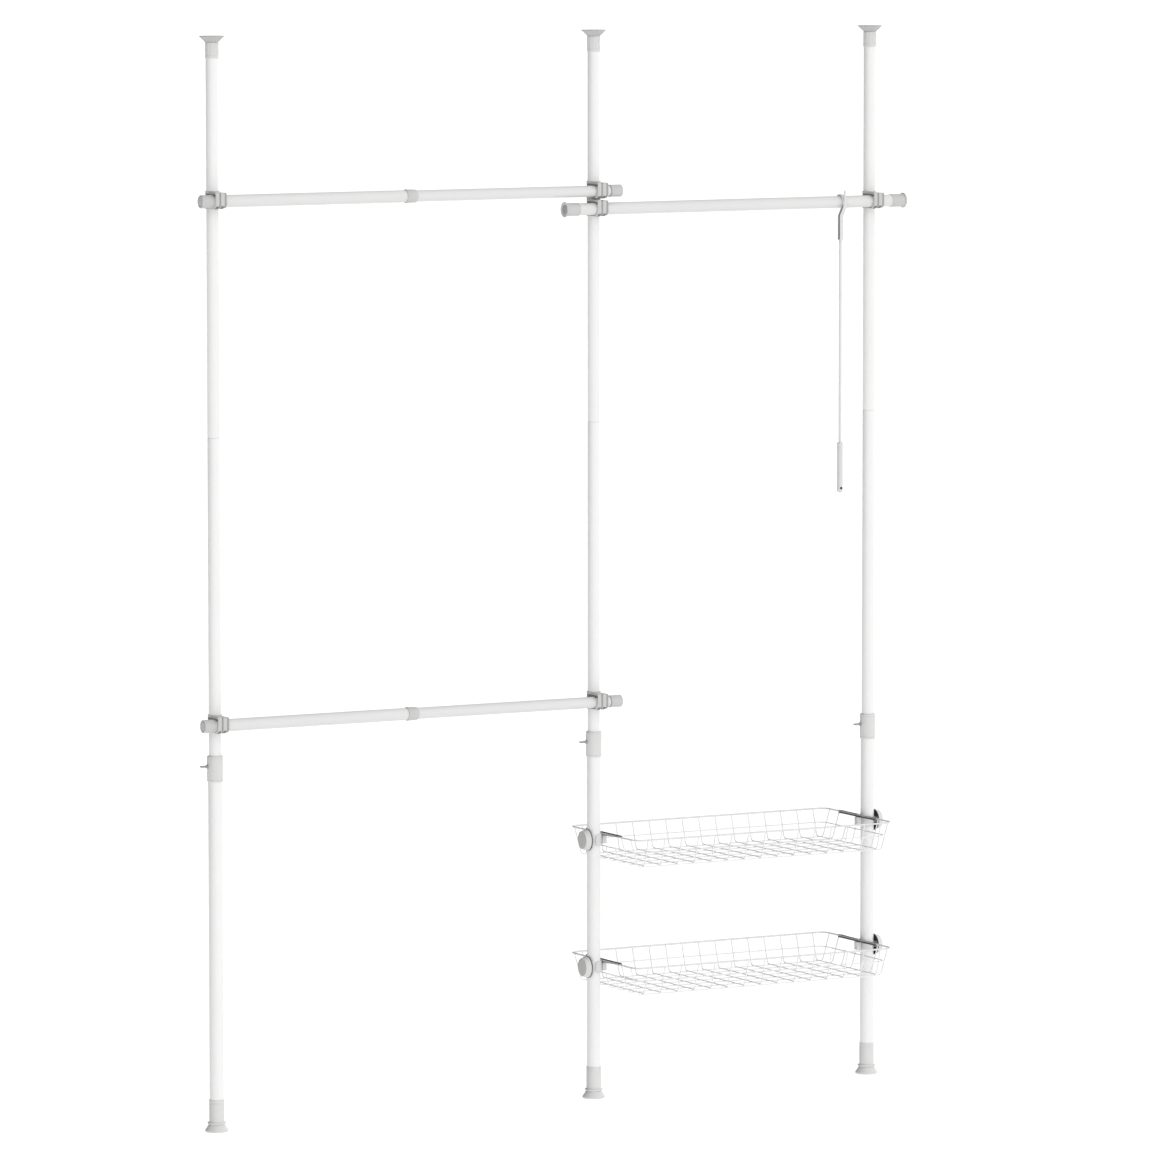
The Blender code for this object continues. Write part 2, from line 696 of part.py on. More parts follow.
def make_rail(name, parent, rim_height):
    """A channel that the basket's end wire lies in; its wall on the bay's side is the higher one."""
    floor_top = rim_height - RIM_WIRE_RADIUS - SEAT_GAP
    floor = floor_top - RAIL_SHEET
    inner_top = rim_height + RAIL_INNER_LIP
    outer_top = rim_height + RAIL_OUTER_LIP
    outer = BASKET_INSET - RAIL_WIDTH / 2
    inner = BASKET_INSET + RAIL_WIDTH / 2
    outline = [
        (outer, floor),
        (inner, floor),
        (inner, inner_top),
        (inner - RAIL_SHEET, inner_top),
        (inner - RAIL_SHEET, floor_top),
        (outer + RAIL_SHEET, floor_top),
        (outer + RAIL_SHEET, outer_top),
        (outer, outer_top),
    ]
    add_piece(
        flat_plate(name, outline, RAIL_LENGTH), BARE_STEEL, parent, (0, 0, 0), (QUARTER_TURN, 0, 0)
    )


def make_bracket(name, parent, rim_height):
    """A clamp round the lower tube: a band, a taller saddle, and a block that carries the rail."""
    rail_floor = rim_height - RIM_WIRE_RADIUS - SEAT_GAP - RAIL_SHEET
    band_top = rail_floor - SEAT_GAP
    band_bottom = band_top - BAND_HEIGHT
    saddle_radius = BASKET_INSET - RAIL_WIDTH / 2 - SEAT_GAP
    saddle_bottom = band_bottom - SADDLE_DROP
    saddle_height = BAND_HEIGHT + SADDLE_DROP + SADDLE_RISE
    bracket = add_piece(
        rod(name, saddle_radius, saddle_height), WHITE_PLASTIC, parent, (0, 0, saddle_bottom)
    )
    band = add_cutter(rod(name + "_band_form", BAND_RADIUS, BAND_HEIGHT), bracket, (0, 0, SADDLE_DROP))
    combine(bracket, "UNION", band)
    block = box(
        name + "_block_form",
        (BLOCK_REACH, BLOCK_DEPTH, BLOCK_HEIGHT),
        (BLOCK_REACH / 2, 0, SADDLE_DROP + BAND_HEIGHT - BLOCK_HEIGHT / 2),
    )
    add_cutter(block, bracket)
    combine(bracket, "UNION", block)
    bore = rod(name + "_pole_cutter", LOWER_RADIUS + SEAT_GAP, saddle_height + 2 * CUT_OVERRUN)
    add_cutter(bore, bracket, (0, 0, -CUT_OVERRUN))
    combine(bracket, "DIFFERENCE", bore)
    hole = rod(
        name + "_screw_cutter",
        KNOB_SCREW_DIAMETER / 2 + SLIDE_GAP,
        BAND_RADIUS + CUT_OVERRUN,
        SMALL_SIDES,
    )
    add_cutter(hole, bracket, (0, 0, SADDLE_DROP + BAND_HEIGHT / 2), (0, -QUARTER_TURN, 0))
    combine(bracket, "DIFFERENCE", hole)


def make_knob(name, parent, rim_height):
    """A hollow knob, open toward the pole, with the screw that clamps the bracket; local Z points away."""
    screw_tip = LOWER_RADIUS + SEAT_GAP
    back = LOWER_RADIUS + KNOB_GAP
    face = back + KNOB_DEPTH
    hollow = face - KNOB_WALL
    face_radius = KNOB_FACE_DIAMETER / 2
    profile = [
        (0, face),
        (face_radius, face),
        (KNOB_DIAMETER / 2, back),
        (KNOB_DIAMETER / 2 - KNOB_WALL, back),
        (face_radius - KNOB_WALL, hollow),
        (KNOB_SCREW_DIAMETER / 2, hollow),
        (KNOB_SCREW_DIAMETER / 2, screw_tip),
        (0, screw_tip),
    ]
    rail_floor = rim_height - RIM_WIRE_RADIUS - SEAT_GAP - RAIL_SHEET
    height = rail_floor - SEAT_GAP - BAND_HEIGHT / 2
    add_piece(turned(name, profile), WHITE_PLASTIC, parent, (0, 0, height), (0, -QUARTER_TURN, 0))


def make_basket_level(name, rim_height, basket_mesh, parent):
    basket = bpy.data.objects.new(name + "_basket", basket_mesh)
    add_piece(basket, WHITE_WIRE, parent, (RIGHT_BAY_WIDTH / 2, 0, rim_height))
    for side, turn in (("left", 0), ("right", HALF_TURN)):
        place = POLE_PLACES["middle"] if side == "left" else POLE_PLACES["right"]
        holder = add_empty(name + "_" + side + "_holder", parent, (place, 0, 0))
        holder.rotation_euler = (0, 0, turn)
        make_rail(name + "_" + side + "_rail", holder, rim_height)
        make_bracket(name + "_" + side + "_bracket", holder, rim_height)
        make_knob(name + "_" + side + "_knob", holder, rim_height)


def hook_outline():
    """The hook's flat head seen from the side, around the rod's axis: across is toward the wall.

    The head rises in front of the rod and curls over its top. Its open side is behind and below the rod,
    so that it lifts off, and a straight prong stands up at the front.
    """
    half_step = (HOOK_ARM_ANGLE - HOOK_CURL_ANGLE) / HOOK_ARC_STEPS / 2
    clear = (ROD_RADIUS + SEAT_GAP) / math.cos(half_step)
    outer = clear + HOOK_ARM
    stem_half = HOOK_STEM_WIDTH / 2
    stem_top = -outer - HOOK_STEM_WIDTH
    prong_inner = -outer + HOOK_PRONG_INSET
    prong_outer = prong_inner - HOOK_ARM
    prong_root = math.acos(prong_inner / outer)
    outline = [
        (-stem_half, -HOOK_STEM_DROP),
        (stem_half, -HOOK_STEM_DROP),
        (stem_half, stem_top),
    ]
    outline += arc((0, 0), clear, HOOK_ARM_ANGLE, HOOK_CURL_ANGLE, HOOK_ARC_STEPS)
    outline += arc((0, 0), outer, HOOK_CURL_ANGLE + 2 * HALF_TURN, prong_root, HOOK_ARC_STEPS)
    outline += [
        (prong_inner, HOOK_PRONG_RISE),
        (prong_outer, HOOK_PRONG_RISE),
        (prong_outer, -HOOK_BELLY_DROP),
        (-stem_half, stem_top),
    ]
    return outline


def make_hook(parent):
    """The reach hook hangs on the right rod: a flat head, a thin rod and a round handle."""
    place = (RIGHT_BAY_WIDTH - HOOK_FROM_POLE, -ROD_SETBACK, RIGHT_ROD_HEIGHT)
    axis = add_empty("reach_hook", parent, place)
    head = add_piece(
        flat_plate("hook_head", hook_outline(), HOOK_PLATE_THICKNESS),
        GREY_PLASTIC,
        axis,
        (0, 0, 0),
        (QUARTER_TURN, 0, QUARTER_TURN),
    )
    socket = rod(
        "hook_socket_cutter", HOOK_ROD_DIAMETER / 2 + SEAT_GAP, HOOK_ROD_SOCKET + CUT_OVERRUN, SMALL_SIDES
    )
    add_cutter(socket, axis, (0, 0, -HOOK_STEM_DROP - CUT_OVERRUN))
    combine(head, "DIFFERENCE", socket)
    rod_top = -HOOK_STEM_DROP + HOOK_ROD_SOCKET - SEAT_GAP
    handle_top = -HOOK_HANDLE_DROP
    rod_bottom = handle_top - HOOK_HANDLE_SOCKET + SEAT_GAP
    bar = rod("hook_rod", HOOK_ROD_DIAMETER / 2, rod_top - rod_bottom, SMALL_SIDES)
    add_piece(bar, WHITE_PAINT, axis, (0, 0, rod_bottom))
    make_hook_handle(axis, handle_top)


def make_hook_handle(axis, handle_top):
    radius = HOOK_HANDLE_DIAMETER / 2
    socket = HOOK_ROD_DIAMETER / 2 + SEAT_GAP
    profile = [
        (0, -HOOK_HANDLE_SOCKET),
        (socket, -HOOK_HANDLE_SOCKET),
        (socket, 0),
        (radius, 0),
        (radius, -HOOK_HANDLE_LENGTH + HOOK_HANDLE_ROUNDING),
        (radius - HOOK_HANDLE_END_INSET, -HOOK_HANDLE_LENGTH),
        (0, -HOOK_HANDLE_LENGTH),
    ]
    handle = add_piece(
        turned("hook_handle", profile, False, SMALL_SIDES), WHITE_PLASTIC, axis, (0, 0, handle_top)
    )
    hole = rod(
        "hook_hole_cutter", HOOK_HOLE_DIAMETER / 2, HOOK_HANDLE_DIAMETER + 2 * CUT_OVERRUN, SMALL_SIDES
    )
    hole_height = -HOOK_HANDLE_LENGTH + HOOK_HOLE_HEIGHT
    add_cutter(hole, handle, (0, radius + CUT_OVERRUN, hole_height), (QUARTER_TURN, 0, 0))
    combine(handle, "DIFFERENCE", hole)


clear_scene()
PIECES = new_collection("clothes_rack")
CUTTERS = new_collection("cutters")
WHITE_PAINT = new_material("white_paint", (0.83, 0.83, 0.82), 0.35)
WHITE_PLASTIC = new_material("white_plastic", (0.76, 0.76, 0.75), 0.5)
WHITE_WIRE = new_material("white_wire_coating", (0.82, 0.82, 0.81), 0.4)
BARE_STEEL = new_material("bare_steel", (0.32, 0.32, 0.32), 0.35, 1.0)
GREY_PLASTIC = new_material("grey_plastic", (0.62, 0.62, 0.61), 0.5)

rack = add_empty("rack", None, (-(RACK_LEFT + RACK_RIGHT) / 2, 0, 0))
for pole_side in POLE_PLACES:
    make_pole(pole_side, rack)
make_telescopic_rod("upper_rod", UPPER_ROD_HEIGHT, rack)
make_telescopic_rod("lower_rod", LOWER_ROD_HEIGHT, rack)
make_right_rod(rack)
basket_form = make_basket_mesh()
make_basket_level("upper", UPPER_BASKET_HEIGHT, basket_form, rack)
make_basket_level("lower", UPPER_BASKET_HEIGHT - BASKET_SPACING, basket_form, rack)
make_hook(rack)
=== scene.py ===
"""Looks for the clothes rack: each tube, clamp, collar, basket and hook is dressed over its CAD part.

Lengths are in metres, in the CAD's frame: X along the rods, -Y toward the room, Z up. The turned pieces'
profiles are in millimetres, and so is a lip, which is the rounding of a turned piece's edge.
"""

import json
import math

import bmesh
import bpy
from mathutils import Matrix, Vector


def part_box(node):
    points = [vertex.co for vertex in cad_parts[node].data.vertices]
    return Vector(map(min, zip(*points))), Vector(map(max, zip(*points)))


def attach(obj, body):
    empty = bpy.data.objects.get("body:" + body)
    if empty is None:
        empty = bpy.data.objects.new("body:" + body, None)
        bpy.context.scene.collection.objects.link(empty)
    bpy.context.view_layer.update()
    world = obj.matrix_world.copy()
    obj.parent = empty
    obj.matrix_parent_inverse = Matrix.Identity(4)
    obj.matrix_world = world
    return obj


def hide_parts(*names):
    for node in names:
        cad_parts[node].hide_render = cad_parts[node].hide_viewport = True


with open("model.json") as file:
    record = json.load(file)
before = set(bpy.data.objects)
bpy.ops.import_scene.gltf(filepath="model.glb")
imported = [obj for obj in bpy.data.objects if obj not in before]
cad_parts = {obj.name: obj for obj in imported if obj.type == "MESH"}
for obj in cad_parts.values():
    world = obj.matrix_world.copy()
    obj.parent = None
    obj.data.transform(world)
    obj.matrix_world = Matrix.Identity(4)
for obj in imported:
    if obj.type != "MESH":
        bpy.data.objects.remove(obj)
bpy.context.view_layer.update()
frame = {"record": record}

MM = 0.001
TINY = 1e-7
WELD = 1e-6
QUARTER = math.pi / 2
FULL_TURN = 2 * math.pi
ALONG = (1, 0, 0)
ROUND_SIDES = 64
MID_SIDES = 48
SMALL_SIDES = 32
FILLET_STEPS = 4
BEVEL_STEPS = 3
SHARP_ANGLE = math.radians(34)

BODY_OF = {node: body for body, nodes in frame["record"]["behaviour"]["bodies"].items() for node in nodes}
POLES = ("left", "middle", "right")

# The pole at each side of the right bay, and the way along the rods from it into the bay
BAY_POLES = {"left": "middle", "right": "right"}
TOWARD_BAY = {"left": 1, "right": -1}

# Tubes
POLE_WALL_LOWER = 0.0012
POLE_WALL_UPPER = 0.0010
ROD_WALL = 0.0007
TUBE_LIP = 0.25
SEAM_LIP = 0.7
SEAM_GAP = 0.0003

# The top tube's narrow foot: its lip, and in millimetres its gap to the tube that it goes into
SPIGOT_LIP = 0.3
SPIGOT_GAP = 0.3

# Turned profiles, in millimetres: radius, height and, where a corner is rounded, its fillet
FOOT = [
    (0, 0), (25.0, 0, 0.7), (26.5, 1.3, 0.8), (26.4, 4.2, 0.8), (25.0, 6.0, 0.5), (18.9, 15.4, 0.8),
    (17.5, 16.8, 0.2), (17.5, 17.9), (20.6, 18.4, 0.4), (20.9, 21.4, 0.5), (18.4, 22.4, 0.3), (17.1, 22.6),
    (17.1, 65.2, 0.2), (16.6, 65.6), (16.6, 67.0), (17.1, 67.4, 0.2), (17.1, 74.1, 0.5), (16.4, 74.1, 0.2),
    (16.3, 8.0), (0, 8.0),
]
FOOT_TREAD = [(18.0, 0), (18.0, 0.5, 0.2), (22.5, 0.5, 0.2), (22.5, 0)]
LOCKING_COLLAR = [
    (16.3, 0, 0.2), (17.5, 0, 0.5), (18.25, 1.0, 0.4), (18.25, 3.4, 0.25), (17.5, 3.8), (17.5, 4.9),
    (17.9, 5.3, 0.25), (17.9, 52.6, 0.25), (17.3, 53.0), (17.3, 54.4), (18.25, 54.8, 0.25),
    (18.25, 57.2, 0.8), (17.1, 58.4, 0.4), (15.6, 58.4, 0.4), (15.0, 57.2, 0.2), (14.3, 56.6), (14.3, 23.9),
    (16.3, 23.9),
]
THUMB_BOSS = [
    (0, 0), (2.5, 0), (2.5, 4.0), (5.2, 4.1, 0.4), (5.0, 5.4, 0.5), (2.6, 9.6, 1.0), (2.2, 12.0, 0.6),
    (0, 12.4),
]
ADJUSTER = [
    (14.3, 0, 0.2), (15.25, 0, 0.5), (15.25, 5.6, 0.3), (14.6, 6.2, 0.2), (14.6, 33.4, 0.2),
    (15.1, 34.0, 0.3), (15.1, 35.3, 0.4), (8.3, 35.3), (8.3, 19.3), (14.3, 19.3),
]
CUP = [
    (0, 14.0), (6.0, 14.0, 0.2), (6.4, 13.4, 0.2), (7.6, 13.4, 0.2), (8.0, 14.0, 0.2), (13.0, 14.0, 0.2),
    (13.4, 13.4, 0.2), (14.6, 13.4, 0.2), (15.0, 14.0, 0.2), (20.0, 14.0, 0.2), (20.4, 13.4, 0.2),
    (21.6, 13.4, 0.2), (22.0, 14.0, 0.2), (29.0, 14.0, 0.6), (29.0, 12.4, 0.6), (27.0, 12.0),
    (13.0, 0.6), (13.0, 0), (8.0, 0), (8.0, -85.0, 0.6), (0, -85.0),
]
CUP_FUNNEL = [(0, 12.2), (29.2, 12.2), (16.4, 0.5), (15.2, 0), (0, 0)]
END_CAP = [
    (0, -0.5), (9.8, -0.3, 0.4), (10.4, -1.9, 0.2), (11.9, -1.9, 0.2), (12.5, 0, 0.4), (13.4, 0, 0.4),
    (15.0, -0.7, 1.3), (15.0, -3.4, 0.2), (14.7, -3.8), (14.7, -28.6), (15.0, -29.0, 0.2), (15.0, -29.6),
    (14.3, -29.6), (14.3, -3.4), (0, -3.4),
]
# A dark ring at an end cap's inner end and a dark disc in a flanged cap's face, both painted shade.
CAP_SHADE_RING = [(14.35, -29.65), (14.9, -29.65, 0.2), (14.9, -32.2, 0.4), (14.35, -32.2)]
CAP_SHADE_DISC = [(0, 0), (11.0, 0, 0.1), (11.0, 0.5, 0.3), (0, 0.4)]
FLANGED_CAP = [
    (0, -1.5), (13.2, -1.3, 0.8), (14.6, 0, 0.6), (17.75, 0, 0.9), (17.75, -2.5, 0.7), (15.2, -3.1, 0.5),
    (15.0, -3.8), (15.0, -31.0, 0.3), (14.7, -31.4), (14.7, -32.2), (15.0, -32.6, 0.3), (15.0, -37.0, 0.5),
    (14.3, -37.0), (14.3, -2.2), (0, -2.2),
]
LOCK_COLLAR = [
    (14.3, 1.2, 0.2), (15.9, 1.2, 0.6), (15.9, 4.4, 0.6), (15.1, 5.2, 0.2), (15.1, 6.4), (15.4, 6.9, 0.3),
    (15.3, 18.0, 1.5), (14.8, 26.4, 0.8), (13.7, 28.2, 0.4), (13.3, 28.2), (13.3, 18.2), (14.3, 18.2),
]
KNOB_FACE = [(0, 31.0), (10.6, 31.0, 0.2), (10.9, 30.8), (11.3, 30.8), (11.6, 31.0, 0.2), (20.4, 31.4)]
KNOB_SHELL = [(20.4, 31.4), (21.4, 30.9, 0.6), (22.4, 27.4, 0.8), (24.6, 19.6, 0.4), (24.9, 18.6)]
KNOB_RIM = [(24.9, 18.6), (25.5, 18.2, 0.2), (25.5, 16.5, 0.3), (23.6, 16.5)]
KNOB_HOLLOW = [(23.6, 16.5), (23.4, 17.4), (20.2, 28.6, 1.4), (7.4, 29.5)]
KNOB_HUB = [(7.4, 29.5), (7.4, 16.3, 0.4), (0, 16.3)]
CLAMP_SLEEVE = [
    (13.0, -18.0), (16.0, -18.0, 0.5), (16.3, -17.2, 0.3), (16.3, -14.0, 0.3), (15.4, -13.6), (15.4, 16.8),
    (16.3, 17.2, 0.3), (16.3, 21.6, 0.6), (15.6, 22.4, 0.3), (13.0, 22.4),
]
HANDLE = [
    (0, -118.5), (3.4, -118.5, 1.0), (6.9, -114.5, 3.2), (6.9, -108.8, 0.4), (6.6, -104.0, 0.5),
    (6.6, -6.4, 0.4), (6.9, -5.2, 0.4), (6.9, -0.9, 0.7), (5.4, 0, 0.4), (3.65, 0), (3.65, -30.0),
    (0, -30.0),
]

# Locking collar, thumb screw, ceiling nut and ceiling cup
COLLAR_FLANGE = (0.0019, 0.0088, 0.0554)
COLLAR_FLANGE_OUT = 0.01755
COLLAR_FLANGE_RISE = 0.0005
COLLAR_FLANGE_EDGE = 0.0004
SCREW_START = 0.0143
PADDLE = (0.003, 0.012, 0.0152)
PADDLE_OUT = 0.0147
PADDLE_EDGE = 0.0012
FLUTES = 12
FLUTE = (0.0011, 0.0030, 0.0272)
FLUTE_RADIUS = 0.01468
FLUTE_RISE = 0.0198
FLUTE_EDGE = 0.0004
CUP_RISE = 0.014
CUP_FACETS = 8
CUP_TURN = math.radians(-96)

# Grips round a rod's end cap, and in millimetres the radius of the waist that they stand on
CAP_GRIPS = 22
CAP_GRIP = (0.0006, 0.0017, 0.0244)
CAP_GRIP_EDGE = 0.00025
CAP_GRIP_MIDDLE = -0.0162
CAP_GRIP_SINK = 0.0001
CAP_WAIST = 14.7

# Clamp ribs, and dark spacers that paint shade in the gaps beside the low rib: where each starts and ends
# along the rod from the pole's axis. A rib then has its front, bottom and top from the rod's axis, and a
# spacer its distance inside the low rib's edges.
TALL_RIB = (-0.0161, -0.0064, -0.0193, -0.0166, 0.0219)
LOW_RIB = (-0.0028, 0.0070, -0.0188, -0.0162, 0.0200)
RIB_ROOT = 0.0170
RIB_TOP_CORNER = 0.0042
RIB_LOW_CORNER = 0.0105
RIB_CORNER_STEPS = 8
RIB_EDGE = 0.0013
SHADE_SPACERS = ((-0.0072, -0.0020, 0.0016), (0.0062, 0.0118, 0.0005))
SHADE_SPACER_EDGE = 0.0004

# Clamp's dark flange, painted shadow above the rod: its reach along the rod, and how its front, bottom and
# top differ from the tall rib's
SHADE_FLANGE_REACH = (-0.0165, -0.0150)
SHADE_FLANGE_CHANGES = (0.0007, 0.0009, -0.0052)
SHADE_FLANGE_FRONT = -0.0060
SHADE_FLANGE_LIP = 0.0115
SHADE_FLANGE_EDGE = 0.0003

# Clamp's painted shade: the dark pads under the ribs, the dark liner round the rod and the dark band round
# the sleeve
SHADE_PAD_ARC = (math.radians(208), math.radians(298))
SHADE_PAD_DEPTH = 0.0034
SHADE_PAD_PROUD = 0.0008
SHADE_PAD_INSET = 0.0013
SHADE_PAD_EDGE = 0.0006
SHADE_LINER_REACH = (-0.0152, 0.0116)
SHADE_LINER_ROOM = 0.0009
SHADE_LINER_GAP = 0.0001
SHADE_LINER_WALL = 0.0005
SHADE_LINER_LIP = 0.1
SHADE_BAND_HALF_TURN = math.radians(112)
SHADE_BAND_RADIUS = 0.0160
SHADE_BAND_BASE_RADIUS = 0.0153
SHADE_BAND_LOW = -0.0136
SHADE_BAND_HIGH = 0.0172
SHADE_BAND_STEPS = 40

# Cutters for the clamp's bores and the handle's hole, in millimetres
POLE_BORE = 14.3
BORE_REACH = 40
HOLE_REACH = 12

# Baskets
BASKET_HALF_LENGTH = 0.3495
BASKET_HALF_DEPTH = 0.158
BASKET_DROP = 0.063
BASKET_SLANT = 0.019
BASKET_CORNER = 0.020
BASKET_BEND = 0.010
RIM_WIRE_RADIUS = 0.0020
WIRE_RADIUS = 0.00140
CROSS_WIRES = 15
CROSS_WIRE_PITCH = 0.0451
LONG_WIRE_PITCH = 0.045
MID_WIRE_DROP = 0.0315
WELD_DEPTH = 0.0005
WIRE_SIDES = 10
RIM_WIRE_SIDES = 14
BEND_STEPS = 5

# Rows of wires along the basket: their ends' height from the rim, their count, and the first one's place,
# counted in pitches from the middle
SHORT_WIRE_RISE = 0.003
LONG_ROWS = ((0.0, 2, -3), (0.0, 2, 2), (SHORT_WIRE_RISE - MID_WIRE_DROP, 3, -1))

# Rails
RAIL_SHEET = 0.0012
RAIL_BEND = 0.0009
RAIL_FOLD = 0.0003
RAIL_LIP = 0.0004
RAIL_TIP = 0.42
RAIL_OUTER_DROP = 0.0034
RAIL_DEEP_HALF = 0.012
BEAD_SIDES = 12
BEAD_RADIUS = 0.0012
BEAD_STOP = -0.004
BEAD_OUT = 0.0004
LOWER_BEAD_RADIUS = 0.0016

# Brackets
BRACKET_BORE = 0.0163
BRACKET_AXIS_RISE = 0.0145
SHELL_RADIUS = 0.0186
SADDLE_TURN = math.radians(105)
SADDLE_HEIGHT = 0.0260
EAR_CORNER = 0.0068
STRAP_TURNS = (math.radians(96), math.radians(197))
STRAP_HEIGHT = 0.0150
STRAP_INSET = 0.0004
STRAP_CORNER = 0.0030
BAND_STEPS = 48
BAND_CHAMFER = 0.0006
BAND_TIP = 0.0008
NECK_ROOT = 0.0170
NECK_DEPTH = 0.0068
NECK_OVERLAP = 0.002
NECK_STEP = 0.003
NECK_EDGE = 0.0005
BLOCK_START = 0.0205
BLOCK_REACH = 0.0312
BLOCK_DEPTH = 0.0140
BLOCK_HEIGHT = 0.0190
BLOCK_LIFT = -0.0010
BLOCK_EDGE = 0.0008

# Reach hook
HOOK_STEM_WIDTH = 0.0118
HOOK_STEM_DROP = 0.090
HOOK_CLEAR = 0.01455
HOOK_ARM = 0.0060
HOOK_TOP_ARM = 0.0036
HOOK_ARM_ANGLE = math.radians(-125)
HOOK_CURL_ANGLE = math.radians(-335)
HOOK_INNER_STEPS = 30
HOOK_OUTER_STEPS = 24
HOOK_BELLY_DROP = 0.0103
HOOK_THICKNESS = 0.009
HOOK_EDGE = 0.0011
HOOK_POCKET_RIM = 0.0005
HOOK_POCKET_SLOPE = 0.0002
HOOK_POCKET_DEPTH = 0.0009
PRONG_RISE = 0.0275
PRONG_INSET = 0.0045
PRONG_WIDTH = 0.0046
PRONG_DEPTH = 0.0036
PRONG_SETBACK = 0.0008
PRONG_EDGE = 0.0009
HOOK_ROD_LIP = 0.4
HOLE_RADIUS = 0.0032
HOLE_RISE = 0.0105
EYELET_LENGTH = 0.0126
EYELET_WALL = 0.0006
EYELET_LIP = 0.2

# Tints of the greys' blue
WARM = -0.005
COLD = 0.01


class Signal:
    """A node's output that plain arithmetic can be written on: each operator adds its Math node."""

    def __init__(self, net, socket):
        self.net = net
        self.socket = socket

    def math(self, operation, other):
        return self.net.add("ShaderNodeMath", {"operation": operation}, {0: self, 1: other})

    def __add__(self, other):
        return self.math("ADD", other)

    def __mul__(self, other):
        return self.math("MULTIPLY", other)

    __radd__ = __add__
    __rmul__ = __mul__


class Net:
    """A node tree in the making."""

    def __init__(self, tree):
        self.nodes = tree.nodes
        self.links = tree.links

    def add(self, kind, settings=None, values=None, output=0):
        """Adds a node of this kind, with its settings first and then its sockets' values or links."""
        node = self.nodes.new(kind)
        for name, value in (settings or {}).items():
            setattr(node, name, value)
        for key, value in (values or {}).items():
            self.feed(node.inputs[key], value)
        return Signal(self, node.outputs[output])

    def feed(self, socket, value):
        if isinstance(value, Signal):
            self.links.new(value.socket, socket)
        else:
            socket.default_value = value

    def mix(self, factor, first, second, blend="MIX"):
        """One colour laid over another."""
        settings = {"data_type": "RGBA", "blend_type": blend}
        return self.add("ShaderNodeMix", settings, {0: factor, 6: first, 7: second}, output=2)


class Finish(Net):
    """A material in the making."""

    def __init__(self, name, **constants):
        self.material = bpy.data.materials.new(name)
        self.material.use_nodes = True
        super().__init__(self.material.node_tree)
        self.shader = self.nodes["Principled BSDF"]
        for socket, value in constants.items():
            self.shader.inputs[socket.replace("_", " ").title()].default_value = value

    def place(self, scale=(1, 1, 1)):
        """Object coordinates, stretched by this scale."""
        spot = self.add("ShaderNodeTexCoord", output="Object")
        if scale == (1, 1, 1):
            return spot
        return self.add("ShaderNodeMapping", {"vector_type": "POINT"}, {"Vector": spot, "Scale": scale})

    def noise(self, spot, scale, detail=2.0, roughness=0.5):
        values = {"Vector": spot, "Scale": scale, "Detail": detail, "Roughness": roughness}
        return self.add("ShaderNodeTexNoise", {}, values)

    def bump(self, height, distance):
        return self.add("ShaderNodeBump", {}, {"Height": height, "Distance": distance})

    def surface(self, colour, roughness, normal):
        self.feed(self.shader.inputs["Base Color"], colour)
        self.feed(self.shader.inputs["Roughness"], roughness)
        self.feed(self.shader.inputs["Normal"], normal)
        return self.material


def grey(level, tint=0.0):
    """A grey whose blue is off its level by this tint."""
    return (level, level, level + tint, 1.0)


def powder_coat(name, bright, dull, along):
    """Powder coat on a tube: a fine orange peel, slow changes of thickness and faint rubbing along it."""
    finish = Finish(name, coat_weight=0.12, coat_roughness=0.22)
    spot = finish.place()
    peel = finish.noise(spot, 820, 1.5)
    grit = finish.noise(spot, 3600, 1.0)
    cloud = finish.noise(spot, 9, 3.0)
    rub = finish.noise(finish.place(along), 260, 2.0)
    shade = cloud * 0.55 + grit * 0.2 + rub * 0.25
    colour = finish.mix(shade, grey(dull, WARM), grey(bright, WARM))
    roughness = 0.30 + cloud * 0.08 + rub * 0.05
    return finish.surface(colour, roughness, finish.bump(peel * 0.8 + grit * 0.2, 0.00006))


def moulded_plastic(name, bright, dull, grain=2300, roughness=0.46, tint=WARM):
    """Moulded plastic with a fine eroded grain and slight flow marks."""
    finish = Finish(name)
    spot = finish.place()
    fine = finish.noise(spot, grain, 2.0, 0.6)
    flow = finish.noise(finish.place((30, 30, 9)), 1.0, 3.0)
    pits = finish.add("ShaderNodeTexVoronoi", {"feature": "F1"}, {"Vector": spot, "Scale": grain * 0.4})
    shade = flow * 0.6 + fine * 0.4
    colour = finish.mix(shade, grey(dull, tint), grey(bright, tint))
    return finish.surface(colour, roughness + flow * 0.1, finish.bump(fine * 0.6 + pits * 0.4, 0.00004))


def wire_coating(name, dark, light):
    """Thick plastic coating on wire: it is smooth, and pools slightly into long waves."""
    finish = Finish(name, coat_weight=0.25, coat_roughness=0.15)
    spot = finish.place()
    pool = finish.noise(spot, 130, 2.0)
    fine = finish.noise(spot, 1700, 1.0)
    colour = finish.mix(pool * 0.7 + fine * 0.3, grey(dark, COLD), grey(light))
    return finish.surface(colour, 0.28 + pool * 0.14, finish.bump(pool * 0.8 + fine * 0.2, 0.00012))


def rolled_steel(name, dark, light):
    """Plain cold-rolled strip: rolling lines along it, dull spots and a slight oil film."""
    finish = Finish(name, metallic=1.0)
    lines = finish.noise(finish.place((1, 0.02, 1)), 2600, 2.0, 0.6)
    spots = finish.noise(finish.place(), 240, 3.0)
    film = finish.noise(finish.place((1, 0.3, 1)), 40, 2.0)
    shade = lines * 0.45 + spots * 0.25 + film * 0.3
    colour = finish.mix(shade, grey(dark, COLD), grey(light, COLD))
    return finish.surface(colour, 0.26 + spots * 0.16 + film * 0.1, finish.bump(lines, 0.00003))


def dark_rubber_and_painted_shade():
    """Dark rubbery plastic: the feet's own rubber tread, and painted shade in the knobs, along the rails'
    beads and in the hook's eyelet.
    """
    finish = Finish("dark_rubber_and_painted_shade")
    spot = finish.place()
    fine = finish.noise(spot, 1900, 2.0)
    dust = finish.noise(spot, 120, 3.0)
    colour = finish.mix(dust * 0.6 + fine * 0.4, grey(0.018, 0.001), grey(0.060, 0.002))
    return finish.surface(colour, 0.55 + dust * 0.2, finish.bump(fine, 0.00005))


